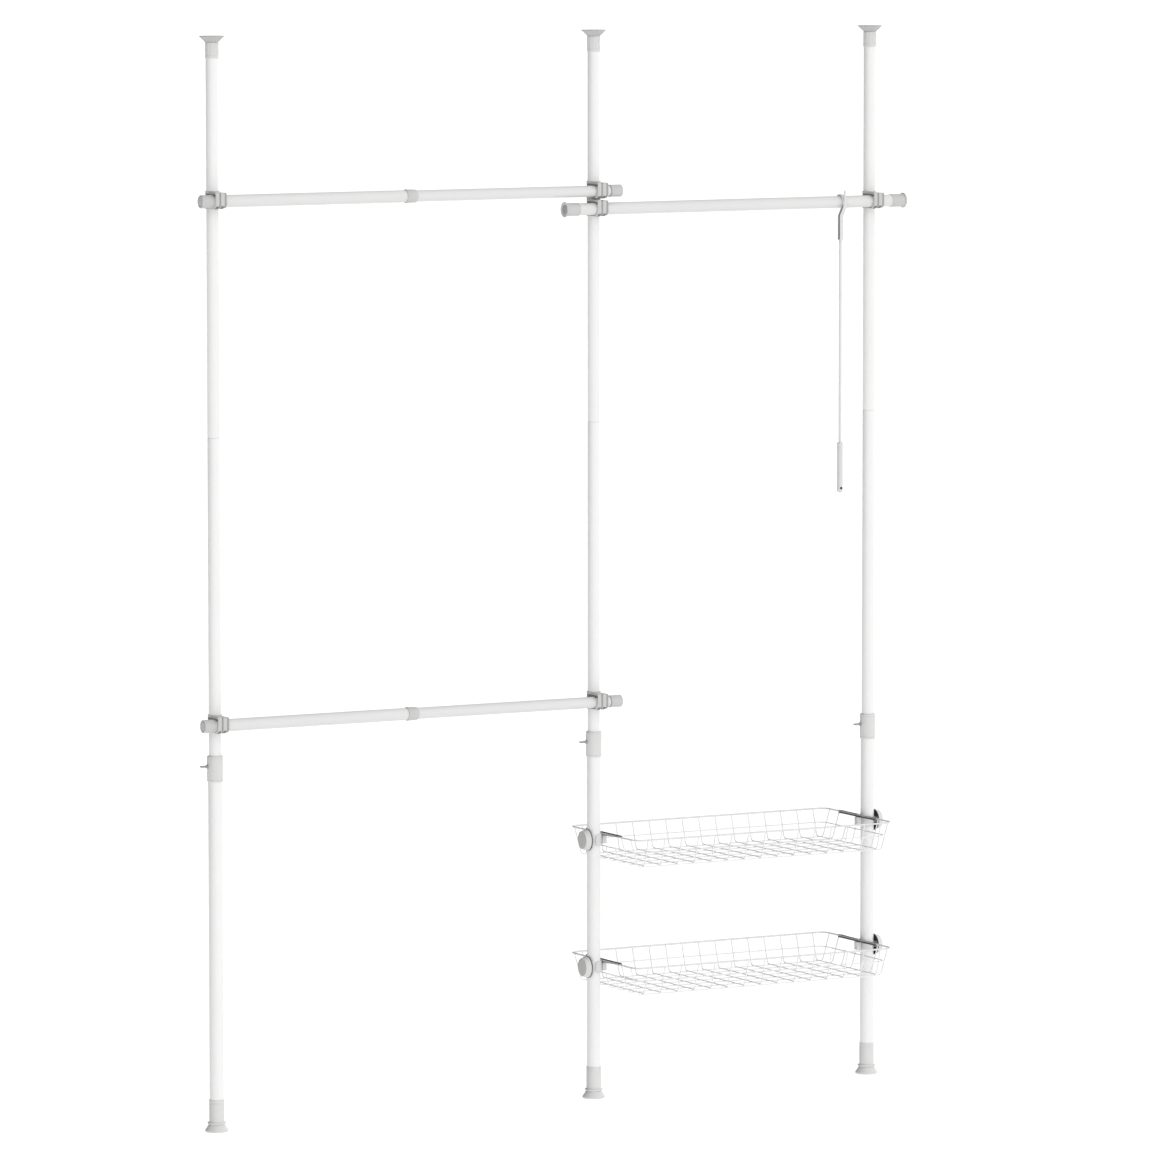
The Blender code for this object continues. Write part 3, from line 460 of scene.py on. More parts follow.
POLE_PAINT = powder_coat("powder_coat_pole", 0.79, 0.74, along=(1, 1, 0.03))
# A darker copy of the poles' coat, for the rods and the hook's rod: painted shade, not a different paint.
SHADED_ROD_PAINT = powder_coat("powder_coat_rod_shaded", 0.68, 0.63, along=(0.03, 1, 1))
WHITE_PLASTIC = moulded_plastic("moulded_white", 0.65, 0.57)
CAP_PLASTIC = moulded_plastic("moulded_cap", 0.55, 0.47, grain=1900)
# A darker copy of the white plastic: painted shade on the ceiling cups and on the knobs' flat faces.
SHADED_FACE_PLASTIC = moulded_plastic("moulded_face_shaded", 0.50, 0.43, grain=1900)
CLAMP_PLASTIC = moulded_plastic("moulded_clamp", 0.54, 0.46, grain=2000)
# Dark grey plastic: the thumb screws' own colour, and painted shade in the caps' rings and discs and in the
# clamps' liners and spacers.
SCREW_AND_SHADE_PLASTIC = moulded_plastic("moulded_screw_and_painted_shade", 0.34, 0.27, grain=1700, tint=0.0)
HOOK_PLASTIC = moulded_plastic("moulded_hook", 0.68, 0.60, grain=1500, roughness=0.36)
# A dark copy of the hook's plastic for the hook head's sunk sides: painted shade.
HOOK_POCKET_SHADE = moulded_plastic("moulded_pocket_painted_shade", 0.22, 0.15, grain=1500, roughness=0.5, tint=0.0)
# Dark grey that paints shade on the clamps: the band round the sleeve, the pads under the ribs and the
# flange above the rod.
PAINTED_SHADE_GREY = moulded_plastic("painted_shade_grey", 0.200, 0.130, grain=1600, roughness=0.5, tint=0.002)
WIRE_COAT = wire_coating("wire_coating_white", 0.69, 0.79)
RIM_COAT = wire_coating("rim_coating_white", 0.61, 0.71)
# One steel in two copies: the left rails' lighter and the right rails' darker, painted light and shade for
# how each rail faces the light.
RAIL_STEEL = {
    "left": rolled_steel("rail_steel_painted_light", 0.42, 0.56),
    "right": rolled_steel("rail_steel", 0.20, 0.36),
}
RUBBER_AND_SHADE = dark_rubber_and_painted_shade()


def rounded(profile):
    """The profile's points in metres, with each corner that gives a fillet turned into an arc."""
    count = len(profile)
    path = []
    for number, point in enumerate(profile):
        corner = Vector(point[:2]) * MM
        fillet = point[2] * MM if len(point) > 2 else 0
        if not fillet:
            path.append(corner)
            continue
        before = (Vector(profile[number - 1][:2]) * MM - corner).normalized()
        after = (Vector(profile[(number + 1) % count][:2]) * MM - corner).normalized()
        half = before.angle(after) / 2
        centre = corner + (before + after).normalized() * (fillet / math.sin(half))
        tangent = fillet / math.tan(half)
        first = corner + before * tangent - centre
        last = corner + after * tangent - centre
        start = math.atan2(first.y, first.x)
        sweep = (math.atan2(last.y, last.x) - start + math.pi) % FULL_TURN - math.pi
        for step in range(FILLET_STEPS + 1):
            angle = start + sweep * step / FILLET_STEPS
            path.append(centre + Vector((math.cos(angle), math.sin(angle))) * fillet)
    return path


def arc(centre, radius, start, end, steps):
    """The points of an arc about this centre, both its ends included."""
    angles = [start + (end - start) * step / steps for step in range(steps + 1)]
    return [(centre[0] + radius * math.cos(a), centre[1] + radius * math.sin(a)) for a in angles]


def skin(path, place, sides=ROUND_SIDES, closed=False, flipped=False):
    """The surface that a path of radii and heights leaves when it is turned about local Z.

    Its faces look outward where the path goes up. Flipped turns them all round.
    """
    points, rings, faces = [], [], []
    for spot in path:
        if spot.x < TINY:
            rings.append([len(points)] * sides)
            points.append((0, 0, spot.y))
            continue
        rings.append(list(range(len(points), len(points) + sides)))
        for number in range(sides):
            angle = FULL_TURN * number / sides
            points.append((spot.x * math.cos(angle), spot.x * math.sin(angle), spot.y))
    pairs = list(zip(rings, rings[1:]))
    if closed:
        pairs.append((rings[-1], rings[0]))
    if flipped:
        pairs = [(high, low) for low, high in pairs]
    for low, high in pairs:
        if low[0] == low[-1] and high[0] == high[-1]:
            continue
        for number in range(sides):
            after = (number + 1) % sides
            quad = [low[number], low[after], high[after], high[number]]
            faces.append([v for n, v in enumerate(quad) if v != quad[n - 1]])
    mesh = bpy.data.meshes.new("skin")
    mesh.from_pydata(points, [], faces)
    mesh.transform(place)
    return mesh


def turned(profile, place, sides=ROUND_SIDES, closed=False):
    """A turned solid about local Z. The profile closes on itself, or its ends lie on the axis."""
    path = rounded(profile)
    area = sum(a.x * b.y - b.x * a.y for a, b in zip(path, path[1:] + path[:1]))
    if area < 0:
        path.reverse()
    return skin(path, place, sides, closed)


def tube(outer, wall, length, place, lips=(TUBE_LIP, TUBE_LIP), sides=ROUND_SIDES):
    """A tube along local Z, its two ends' outer edges rounded by these lips in millimetres."""
    radius, bore, top = outer / MM, (outer - wall) / MM, length / MM
    profile = [(bore, 0), (radius, 0, lips[0]), (radius, top, lips[1]), (bore, top)]
    return turned(profile, place, sides, True)


def drill(radius, reach, place, sides=ROUND_SIDES):
    """A round cutter along local Z, with its radius and its reach to both sides in millimetres."""
    return turned([(0, -reach), (radius, -reach), (radius, reach), (0, reach)], place, sides)


def settled(work, mesh=None):
    """Moves what was worked on into the mesh, or into a new one."""
    mesh = mesh or bpy.data.meshes.new("made")
    work.to_mesh(mesh)
    work.free()
    return mesh


def softened(work, edges, width):
    """Rounds these edges of what is worked on."""
    bmesh.ops.bevel(work, geom=edges, offset=width, segments=BEVEL_STEPS, profile=0.5, affect="EDGES")


def extruded(outline, thickness, place, edge=0.0):
    """A plate with this outline in local XY, centred in its thickness, its edges rounded."""
    work = bmesh.new()
    low = [work.verts.new((x, y, -thickness / 2)) for x, y in outline]
    high = [work.verts.new((x, y, thickness / 2)) for x, y in outline]
    work.faces.new(low)
    work.faces.new(high)
    count = len(outline)
    for number in range(count):
        after = (number + 1) % count
        work.faces.new((low[number], low[after], high[after], high[number]))
    bmesh.ops.recalc_face_normals(work, faces=work.faces)
    if edge:
        rim = [e for e in work.edges if abs(e.verts[0].co.z - e.verts[1].co.z) < TINY]
        softened(work, rim, edge)
    mesh = settled(work)
    mesh.transform(place)
    return mesh


def block(size, centre, edge, place=None):
    """A box with rounded edges."""
    work = bmesh.new()
    bmesh.ops.create_cube(work, size=1.0)
    bmesh.ops.scale(work, vec=Vector(size), verts=work.verts)
    bmesh.ops.translate(work, vec=Vector(centre), verts=work.verts)
    softened(work, work.edges[:], edge)
    mesh = settled(work)
    if place is not None:
        mesh.transform(place)
    return mesh


def lofted(sections):
    """A closed solid through these sections, each a list of as many points."""
    work = bmesh.new()
    rings = [[work.verts.new(point) for point in section] for section in sections]
    for low, high in zip(rings, rings[1:]):
        for number, vert in enumerate(low):
            after = (number + 1) % len(low)
            work.faces.new((vert, low[after], high[after], high[number]))
    work.faces.new(rings[0])
    work.faces.new(rings[-1])
    bmesh.ops.recalc_face_normals(work, faces=work.faces)
    return settled(work)


def evaluated(obj):
    """The object as its modifiers show it, as a mesh; the object itself is removed."""
    bpy.context.scene.collection.objects.link(obj)
    bpy.context.view_layer.update()
    shown = obj.evaluated_get(bpy.context.evaluated_depsgraph_get())
    mesh = bpy.data.meshes.new_from_object(shown)
    bpy.data.objects.remove(obj)
    return mesh


def shaped(mesh, *changes):
    """The mesh after Booleans, each given as (operation, other mesh)."""
    base = bpy.data.objects.new("base", mesh)
    tools = []
    for operation, other in changes:
        tool = bpy.data.objects.new("tool", other)
        tools.append(tool)
        change = base.modifiers.new(operation, "BOOLEAN")
        change.operation = operation
        change.object = tool
        change.solver = "EXACT"
    made = evaluated(base)
    for tool in tools:
        bpy.data.objects.remove(tool)
    return made


def dress(node, kind, parts):
    """Makes one finished piece of (mesh, material) parts, and puts it in the place of its CAD node."""
    name = node + "_" + kind
    work = bmesh.new()
    finishes = []
    for mesh, finish in parts:
        if finish not in finishes:
            finishes.append(finish)
        for polygon in mesh.polygons:
            polygon.material_index = finishes.index(finish)
        work.from_mesh(mesh)
    bmesh.ops.remove_doubles(work, verts=work.verts, dist=WELD)
    mesh = settled(work, bpy.data.meshes.new(name))
    mesh.shade_smooth()
    mesh.set_sharp_from_angle(angle=SHARP_ANGLE)
    for finish in finishes:
        mesh.materials.append(finish)
    piece = bpy.data.objects.new(name, mesh)
    bpy.context.scene.collection.objects.link(piece)
    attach(piece, BODY_OF[node])
    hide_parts(node)


def upright(x, y, z):
    return Matrix.Translation((x, y, z))


def facing(x, y, z, axis):
    """A place whose local Z points along the axis."""
    swing = Vector((0, 0, 1)).rotation_difference(Vector(axis)).to_matrix().to_4x4()
    return Matrix.Translation((x, y, z)) @ swing


def middle_of(node):
    low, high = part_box(node)
    return (low + high) / 2, high - low


def pole_x(pole):
    return middle_of(pole + "_foot")[0].x


def axis_at(node):
    """Where the axis of a rod's piece lies, across the rods and up."""
    low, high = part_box(node)
    return (low.y + high.y) / 2, (low.z + high.z) / 2


# Geometry Nodes trees


class Tree(Net):
    """A Geometry Nodes tree in the making, with named inputs."""

    def __init__(self, name, inputs):
        self.group = bpy.data.node_groups.new(name, "GeometryNodeTree")
        super().__init__(self.group)
        face = self.group.interface
        face.new_socket(name="Geometry", in_out="INPUT", socket_type="NodeSocketGeometry")
        self.keys = {}
        for label, (kind, _) in inputs.items():
            socket = face.new_socket(name=label, in_out="INPUT", socket_type="NodeSocket" + kind)
            self.keys[label] = socket.identifier
        face.new_socket(name="Geometry", in_out="OUTPUT", socket_type="NodeSocketGeometry")
        self.values = {label: value for label, (_, value) in inputs.items()}
        self.start = self.nodes.new("NodeGroupInput")

    def given(self, label):
        return Signal(self, self.start.outputs[label])

    def end(self, geometry, finish):
        """Ends the tree in Realize Instances and Set Material."""
        solid = self.add("GeometryNodeRealizeInstances", {}, {0: geometry})
        dressed = self.add("GeometryNodeSetMaterial", {}, {"Geometry": solid, "Material": finish})
        last = self.nodes.new("NodeGroupOutput")
        self.feed(last.inputs[0], dressed)

    def run(self, mesh, **changes):
        """The mesh that the tree makes of this one; changes give inputs by name, with _ for a space."""
        obj = bpy.data.objects.new("run", mesh)
        work = obj.modifiers.new("Tree", "NODES")
        work.node_group = self.group
        values = dict(self.values)
        values.update({label.replace("_", " "): value for label, value in changes.items()})
        for label, value in values.items():
            work[self.keys[label]] = value
        return evaluated(obj)


def wire_tree():
    """Repeats one line of edges along an offset, rounds its bends and gives it a round section."""
    tree = Tree(
        "repeated_wire",
        {
            "Count": ("Int", 1),
            "Pitch": ("Float", 0.0),
            "Start": ("Float", 0.0),
            "Across": ("Bool", False),
            "Wire Radius": ("Float", WIRE_RADIUS),
            "Bend Radius": ("Float", BASKET_BEND),
            "Bend Steps": ("Int", BEND_STEPS),
            "Sides": ("Int", WIRE_SIDES),
        },
    )
    way = tree.add(
        "GeometryNodeSwitch",
        {"input_type": "VECTOR"},
        {"Switch": tree.given("Across"), "False": (1.0, 0.0, 0.0), "True": (0.0, 1.0, 0.0)},
    )
    scale = ("ShaderNodeVectorMath", {"operation": "SCALE"})
    first = tree.add(*scale, {"Vector": way, "Scale": tree.given("Start")})
    step = tree.add(*scale, {"Vector": way, "Scale": tree.given("Pitch")})
    row = tree.add(
        "GeometryNodeMeshLine",
        {"mode": "OFFSET"},
        {"Count": tree.given("Count"), "Start Location": first, "Offset": step},
    )
    line = tree.given("Geometry")
    copies = tree.add("GeometryNodeInstanceOnPoints", {}, {"Points": row, "Instance": line})
    joined = tree.add("GeometryNodeRealizeInstances", {}, {0: copies})
    lines = tree.add("GeometryNodeMeshToCurve", {}, {0: joined})
    bent = tree.add(
        "GeometryNodeFilletCurve",
        {"mode": "POLY"},
        {"Curve": lines, "Radius": tree.given("Bend Radius"), "Count": tree.given("Bend Steps")},
    )
    section = tree.add(
        "GeometryNodeCurvePrimitiveCircle",
        {"mode": "RADIUS"},
        {"Resolution": tree.given("Sides"), "Radius": tree.given("Wire Radius")},
    )
    ends = {"Curve": bent, "Profile Curve": section, "Fill Caps": True}
    tree.end(tree.add("GeometryNodeCurveToMesh", {}, ends), WIRE_COAT)
    return tree


def rib_tree():
    """Repeats the mesh round local Z, each copy turned to face outward."""
    tree = Tree("ribs_round", {"Count": ("Int", 1), "Radius": ("Float", 0.0), "Height": ("Float", 0.0)})
    ring = tree.add(
        "GeometryNodeMeshCircle",
        {"fill_type": "NONE"},
        {"Vertices": tree.given("Count"), "Radius": tree.given("Radius")},
    )
    spot = tree.add("GeometryNodeInputPosition")
    turn = tree.add("FunctionNodeAlignRotationToVector", {"axis": "X"}, {"Vector": spot})
    copies = tree.add(
        "GeometryNodeInstanceOnPoints",
        {},
        {"Points": ring, "Instance": tree.given("Geometry"), "Rotation": turn},
    )
    lift = tree.add("ShaderNodeCombineXYZ", {}, {"Z": tree.given("Height")})
    solid = tree.add("GeometryNodeRealizeInstances", {}, {0: copies})
    raised = tree.add("GeometryNodeTransform", {}, {"Geometry": solid, "Translation": lift})
    tree.end(raised, WHITE_PLASTIC)
    return tree


WIRES = wire_tree()
RIBS = rib_tree()


def edge_line(points, cyclic=False):
    mesh = bpy.data.meshes.new("line")
    edges = [(number, number + 1) for number in range(len(points) - 1)]
    if cyclic:
        edges.append((len(points) - 1, 0))
    mesh.from_pydata(points, edges, [])
    return mesh


# Poles


def dress_foot(side, x, y):
    """The foot, with a dark tread ring under it."""
    node = side + "_foot"
    place = upright(x, y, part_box(node)[0].z)
    tread = turned(FOOT_TREAD, place, closed=True)
    dress(node, "moulding", [(turned(FOOT, place), WHITE_PLASTIC), (tread, RUBBER_AND_SHADE)])


def dress_straight_tubes(side, x, y):
    """The lower tube, and the middle one, whose top edge is rounder at the seam."""
    for part, wall, top_lip in (
        ("_lower_tube", POLE_WALL_LOWER, TUBE_LIP),
        ("_middle_tube", POLE_WALL_UPPER, SEAM_LIP),
    ):
        node = side + part
        low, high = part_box(node)
        place = upright(x, y, low.z)
        made = tube((high.x - low.x) / 2, wall, high.z - low.z, place, (TUBE_LIP, top_lip))
        dress(node, "painted", [(made, POLE_PAINT)])


def dress_top_tube(side, x, y):
    """The top tube, whose narrow foot is hidden in the middle tube."""
    node = side + "_top_tube"
    low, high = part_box(node)
    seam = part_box(side + "_middle_tube")[1].z + SEAM_GAP
    outer = (high.x - low.x) / 2 / MM
    top = (high.z - seam) / MM
    end = (low.z - seam) / MM
    spigot = outer - POLE_WALL_UPPER / MM - SPIGOT_GAP
    bore = spigot - POLE_WALL_UPPER / MM
    profile = [
        (bore, end), (spigot, end, SPIGOT_LIP), (spigot, 0),
        (outer, 0, SEAM_LIP), (outer, top, TUBE_LIP), (bore, top),
    ]
    made = turned(profile, upright(x, y, seam), closed=True)
    dress(node, "painted", [(made, POLE_PAINT)])


def dress_locking_collar(side, x, y):
    """The collar, with the flat flange that its thumb screw goes through."""
    node = side + "_locking_collar"
    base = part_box(node)[0].z
    collar = turned(LOCKING_COLLAR, upright(x, y, base), closed=True)
    centre = (x - COLLAR_FLANGE_OUT, y, base + COLLAR_FLANGE[2] / 2 + COLLAR_FLANGE_RISE)
    flange = block(COLLAR_FLANGE, centre, COLLAR_FLANGE_EDGE)
    dress(node, "moulding", [(shaped(collar, ("UNION", flange)), WHITE_PLASTIC)])


def dress_thumb_screw(side, x, y):
    node = side + "_thumb_screw"
    start = facing(x - SCREW_START, y, middle_of(node)[0].z, (-1, 0, 0))
    boss = turned(THUMB_BOSS, start, SMALL_SIDES)
    paddle = block(PADDLE, (0, 0, PADDLE_OUT), PADDLE_EDGE, start)
    dress(node, "moulding", [(boss, SCREW_AND_SHADE_PLASTIC), (paddle, SCREW_AND_SHADE_PLASTIC)])


def dress_adjuster(side, x, y):
    """The ceiling nut and its flutes."""
    node = side + "_ceiling_adjuster"
    place = upright(x, y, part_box(node)[0].z)
    nut = turned(ADJUSTER, place, closed=True)
    flute = block(FLUTE, (0, 0, 0), FLUTE_EDGE)
    flutes = RIBS.run(flute, Count=FLUTES, Radius=FLUTE_RADIUS, Height=FLUTE_RISE)
    flutes.transform(place)
    dress(node, "moulding", [(nut, WHITE_PLASTIC), (flutes, WHITE_PLASTIC)])


def dress_cup(side, x, y):
    """The ceiling cup with its stem, its ringed face and its faceted underside, in the darker plastic that
    paints shade on it.
    """
    node = side + "_ceiling_cup"
    place = upright(x, y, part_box(node)[1].z - CUP_RISE)
    cup = turned(CUP, place)
    funnel = turned(CUP_FUNNEL, place @ Matrix.Rotation(CUP_TURN, 4, "Z"), CUP_FACETS)
    dress(node, "moulding", [(shaped(cup, ("UNION", funnel)), SHADED_FACE_PLASTIC)])


POLE_DRESSERS = (
    dress_foot,
    dress_straight_tubes,
    dress_top_tube,
    dress_locking_collar,
    dress_thumb_screw,
    dress_adjuster,
    dress_cup,
)

for pole in POLES:
    foot = middle_of(pole + "_foot")[0]
    for dress_part in POLE_DRESSERS:
        dress_part(pole, foot.x, foot.y)


# Clothes rods and their clamps


def dress_rod_tube(node):
    low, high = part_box(node)
    place = facing(low.x, *axis_at(node), ALONG)
    dress(node, "painted", [(tube((high.z - low.z) / 2, ROD_WALL, high.x - low.x, place), SHADED_ROD_PAINT)])


def scaled_profile(profile, change):
    """The profile with every radius changed by this many millimetres, apart from the ones on the axis."""
    return [(p[0] + change if p[0] else 0, *p[1:]) for p in profile]


def dress_cap(node, profile, outward):
    """A cap whose profile's height 0 is its outer face, with grips and a dark ring of painted shade at its
    inner end, or with a dark disc of painted shade in its face.
    """
    low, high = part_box(node)
    face = high.x if outward > 0 else low.x
    change = (high.z - low.z) / 2 / MM - max(point[0] for point in profile)
    place = facing(face, *axis_at(node), (outward, 0, 0))
    parts = [(turned(scaled_profile(profile, change), place), CAP_PLASTIC)]
    if profile is END_CAP:
        grip = block(CAP_GRIP, (0, 0, 0), CAP_GRIP_EDGE)
        radius = (CAP_WAIST + change) * MM - CAP_GRIP_SINK
        grips = RIBS.run(grip, Count=CAP_GRIPS, Radius=radius, Height=CAP_GRIP_MIDDLE)
        grips.transform(place)
        shade_ring = turned(scaled_profile(CAP_SHADE_RING, change), place, closed=True)
        parts += [(grips, CAP_PLASTIC), (shade_ring, SCREW_AND_SHADE_PLASTIC)]
    else:
        shade_disc = turned(CAP_SHADE_DISC, place @ upright(0, 0, profile[0][1] * MM), MID_SIDES)
        parts.append((shade_disc, SCREW_AND_SHADE_PLASTIC))
    dress(node, "moulding", parts)


def dress_lock_collar(node):
    place = facing(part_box(node)[0].x, *axis_at(node), ALONG)
    dress(node, "moulding", [(turned(LOCK_COLLAR, place, closed=True), CAP_PLASTIC)])


def side_place(x, y, z):
    """A place whose local X is the world's Y, and whose local Y is up."""
    turn = Matrix.Rotation(QUARTER, 4, "Z") @ Matrix.Rotation(QUARTER, 4, "X")
    return Matrix.Translation((x, y, z)) @ turn


def rib_outline(front, bottom, top):
    """A clamp rib, seen along the rod: its flat front has a small upper corner and a large lower one."""
    upper_centre = (front + RIB_TOP_CORNER, top - RIB_TOP_CORNER)
    lower_centre = (front + RIB_LOW_CORNER, bottom + RIB_LOW_CORNER)
    upper = arc(upper_centre, RIB_TOP_CORNER, QUARTER, 2 * QUARTER, RIB_CORNER_STEPS)
    lower = arc(lower_centre, RIB_LOW_CORNER, 2 * QUARTER, 3 * QUARTER, RIB_CORNER_STEPS)
    return [(RIB_ROOT, top), *upper, *lower, (RIB_ROOT, bottom)]


def shade_flange_outline():
    """The dark flange, painted shadow above the rod: like the tall rib above its lip, and straight and
    further back below it.
    """
    front, bottom, top = (edge + change for edge, change in zip(TALL_RIB[2:], SHADE_FLANGE_CHANGES))
    upper = [point for point in rib_outline(front, bottom, top) if point[1] > SHADE_FLANGE_LIP]
    lower = [(front, SHADE_FLANGE_LIP), (SHADE_FLANGE_FRONT, SHADE_FLANGE_LIP), (SHADE_FLANGE_FRONT, bottom), (RIB_ROOT, bottom)]
    return upper + lower


def shade_pad_outline(front, bottom):
    """A dark pad round the lower corner of a rib: painted shade under it."""
    centre = (front + RIB_LOW_CORNER, bottom + RIB_LOW_CORNER)
    start, end = SHADE_PAD_ARC
    outer = arc(centre, RIB_LOW_CORNER + SHADE_PAD_PROUD, start, end, RIB_CORNER_STEPS)
    inner = arc(centre, RIB_LOW_CORNER - SHADE_PAD_DEPTH, end, start, RIB_CORNER_STEPS)
    return outer + inner


def plate_across(outline, start, end, spot, edge):
    """A plate across the rod, from one distance along it to another, counted from the clamp's spot."""
    x, y, z = spot
    return extruded(outline, end - start, side_place(x + (start + end) / 2, y, z), edge)


def sleeve_shade_band(x, z):
    """A dark band round the front of a clamp's sleeve: painted shade above and below the rod."""
    start, end = -QUARTER - SHADE_BAND_HALF_TURN, -QUARTER + SHADE_BAND_HALF_TURN
    outer = arc((0, 0), SHADE_BAND_RADIUS, start, end, SHADE_BAND_STEPS)
    inner = arc((0, 0), SHADE_BAND_BASE_RADIUS, end, start, SHADE_BAND_STEPS)
    middle = z + (SHADE_BAND_HIGH + SHADE_BAND_LOW) / 2
    return extruded(outer + inner, SHADE_BAND_HIGH - SHADE_BAND_LOW, upright(x, 0, middle))


def closed_up(mesh):
    """The mesh with the three-edged gaps that the cuts leave in a bore's wall filled in."""
    work = bmesh.new()
    work.from_mesh(mesh)
    bmesh.ops.remove_doubles(work, verts=work.verts, dist=TINY)
    bmesh.ops.holes_fill(work, edges=[edge for edge in work.edges if edge.is_boundary], sides=4)
    bmesh.ops.recalc_face_normals(work, faces=work.faces)
    return settled(work, mesh)


def fresh(changes):
    """The same Boolean steps on copies of their tools."""
    return [(operation, tool.copy()) for operation, tool in changes]


def dress_clamp(node, pole, rod):
    """The sleeve on the pole, the two ribs that hold the rod, and the dark pieces in and round them that
    paint their shade.
    """
    low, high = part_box(rod)
    y, z = axis_at(rod)
    x = pole_x(pole)
    spot = (x, y, z)
    ribs, shade_pads, shade_spacers = [], [], []
    for start, end, *edges in (TALL_RIB, LOW_RIB):
        ribs.append(("UNION", plate_across(rib_outline(*edges), start, end, spot, RIB_EDGE)))
        shade_pad = shade_pad_outline(*edges[:2])
        shade_pads.append(plate_across(shade_pad, start + SHADE_PAD_INSET, end - SHADE_PAD_INSET, spot, SHADE_PAD_EDGE))
    for start, end, inset in SHADE_SPACERS:
        outline = rib_outline(*(edge - math.copysign(inset, edge) for edge in LOW_RIB[2:]))
        shade_spacers.append(plate_across(outline, start, end, spot, SHADE_SPACER_EDGE))
    shade_pads.append(plate_across(shade_flange_outline(), *SHADE_FLANGE_REACH, spot, SHADE_FLANGE_EDGE))

    room = (high.z - low.z) / 2 + SHADE_LINER_ROOM
    pole_bore = drill(POLE_BORE, BORE_REACH, upright(x, 0, z))
    rod_bore = drill(room / MM, BORE_REACH, facing(*spot, ALONG))
    bores = [("DIFFERENCE", pole_bore), ("DIFFERENCE", rod_bore)]
    sleeve = turned(CLAMP_SLEEVE, upright(x, 0, z), closed=True)
    body = closed_up(shaped(sleeve, *ribs, *bores))
    start, end = SHADE_LINER_REACH
    shade_liner_place = facing(x + start, y, z, ALONG)
    shade_liner = tube(room - SHADE_LINER_GAP, SHADE_LINER_WALL, end - start, shade_liner_place, (SHADE_LINER_LIP, SHADE_LINER_LIP))
    # The liner, the spacers, the pads, the flange and the sleeve's band are dark as painted shade.
    parts = [(body, CLAMP_PLASTIC), (shade_liner, SCREW_AND_SHADE_PLASTIC), (sleeve_shade_band(x, z), PAINTED_SHADE_GREY)]
    parts += [(shaped(made, *fresh(bores)), SCREW_AND_SHADE_PLASTIC) for made in shade_spacers]
    parts += [(shaped(made, *fresh(bores)), PAINTED_SHADE_GREY) for made in shade_pads]
    dress(node, "moulding", parts)


for level in ("upper_rod", "lower_rod"):
    dress_rod_tube(level + "_outer_tube")
    dress_rod_tube(level + "_inner_tube")
    dress_lock_collar(level + "_lock_collar")
    dress_cap(level + "_left_cap", END_CAP, -1)
    dress_cap(level + "_right_cap", END_CAP, 1)
    dress_clamp(level + "_left_clamp", "left", level + "_outer_tube")
    dress_clamp(level + "_middle_clamp", "middle", level + "_inner_tube")
dress_rod_tube("right_rod_tube")
dress_cap("right_rod_left_cap", FLANGED_CAP, -1)
dress_cap("right_rod_right_cap", FLANGED_CAP, 1)
for pole in ("middle", "right"):
    dress_clamp("right_rod_" + pole + "_clamp", pole, "right_rod_tube")


# Baskets


def loop(half_length, half_depth, height):
    """The corners of a level rectangle, counterclockwise from above."""
    corners = ((1, 1), (-1, 1), (-1, -1), (1, -1))
    return [(x * half_length, y * half_depth, height) for x, y in corners]


def cross_wire():
    """A wire down the basket's front, across its floor and up its back."""
    floor = BASKET_HALF_DEPTH - BASKET_SLANT
    return [
        (0, -BASKET_HALF_DEPTH, 0),
        (0, -floor, -BASKET_DROP),
        (0, floor, -BASKET_DROP),
        (0, BASKET_HALF_DEPTH, 0),
    ]


def long_wire(top):
    """A wire along the basket, under the cross wires, that goes up to this height at both ends."""
    floor = BASKET_HALF_LENGTH - BASKET_SLANT
    bottom = -BASKET_DROP - 2 * WIRE_RADIUS + WELD_DEPTH
    half = BASKET_HALF_LENGTH + BASKET_SLANT * top / BASKET_DROP
    return [(-half, 0, top), (-floor, 0, bottom), (floor, 0, bottom), (half, 0, top)]


def dress_basket(node):
    """The rim, a wire round the middle, the cross wires and the long wires."""
    low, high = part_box(node)
    centre = (low + high) / 2
    inset = BASKET_SLANT * MID_WIRE_DROP / BASKET_DROP + 2 * WIRE_RADIUS - WELD_DEPTH
    middle = loop(BASKET_HALF_LENGTH - inset, BASKET_HALF_DEPTH - inset, -MID_WIRE_DROP)
    rim = loop((high.x - low.x) / 2 - RIM_WIRE_RADIUS, (high.y - low.y) / 2 - RIM_WIRE_RADIUS, 0)
    rim_sizes = {"Wire_Radius": RIM_WIRE_RADIUS, "Bend_Radius": BASKET_CORNER, "Sides": RIM_WIRE_SIDES}
    first = -CROSS_WIRE_PITCH * (CROSS_WIRES - 1) / 2
    wires = [
        WIRES.run(edge_line(rim, True), **rim_sizes),
        WIRES.run(edge_line(middle, True), Bend_Radius=BASKET_CORNER),
        WIRES.run(edge_line(cross_wire()), Count=CROSS_WIRES, Pitch=CROSS_WIRE_PITCH, Start=first),
    ]
    for top, count, place in LONG_ROWS:
        row = {"Count": count, "Pitch": LONG_WIRE_PITCH, "Start": place * LONG_WIRE_PITCH, "Across": True}
        wires.append(WIRES.run(edge_line(long_wire(top)), **row))
    for made in wires:
        made.transform(upright(centre.x, centre.y, high.z - RIM_WIRE_RADIUS))
    coats = [RIM_COAT] + [WIRE_COAT] * (len(wires) - 1)
    dress(node, "wires", list(zip(wires, coats)))


# Rails, brackets and knobs


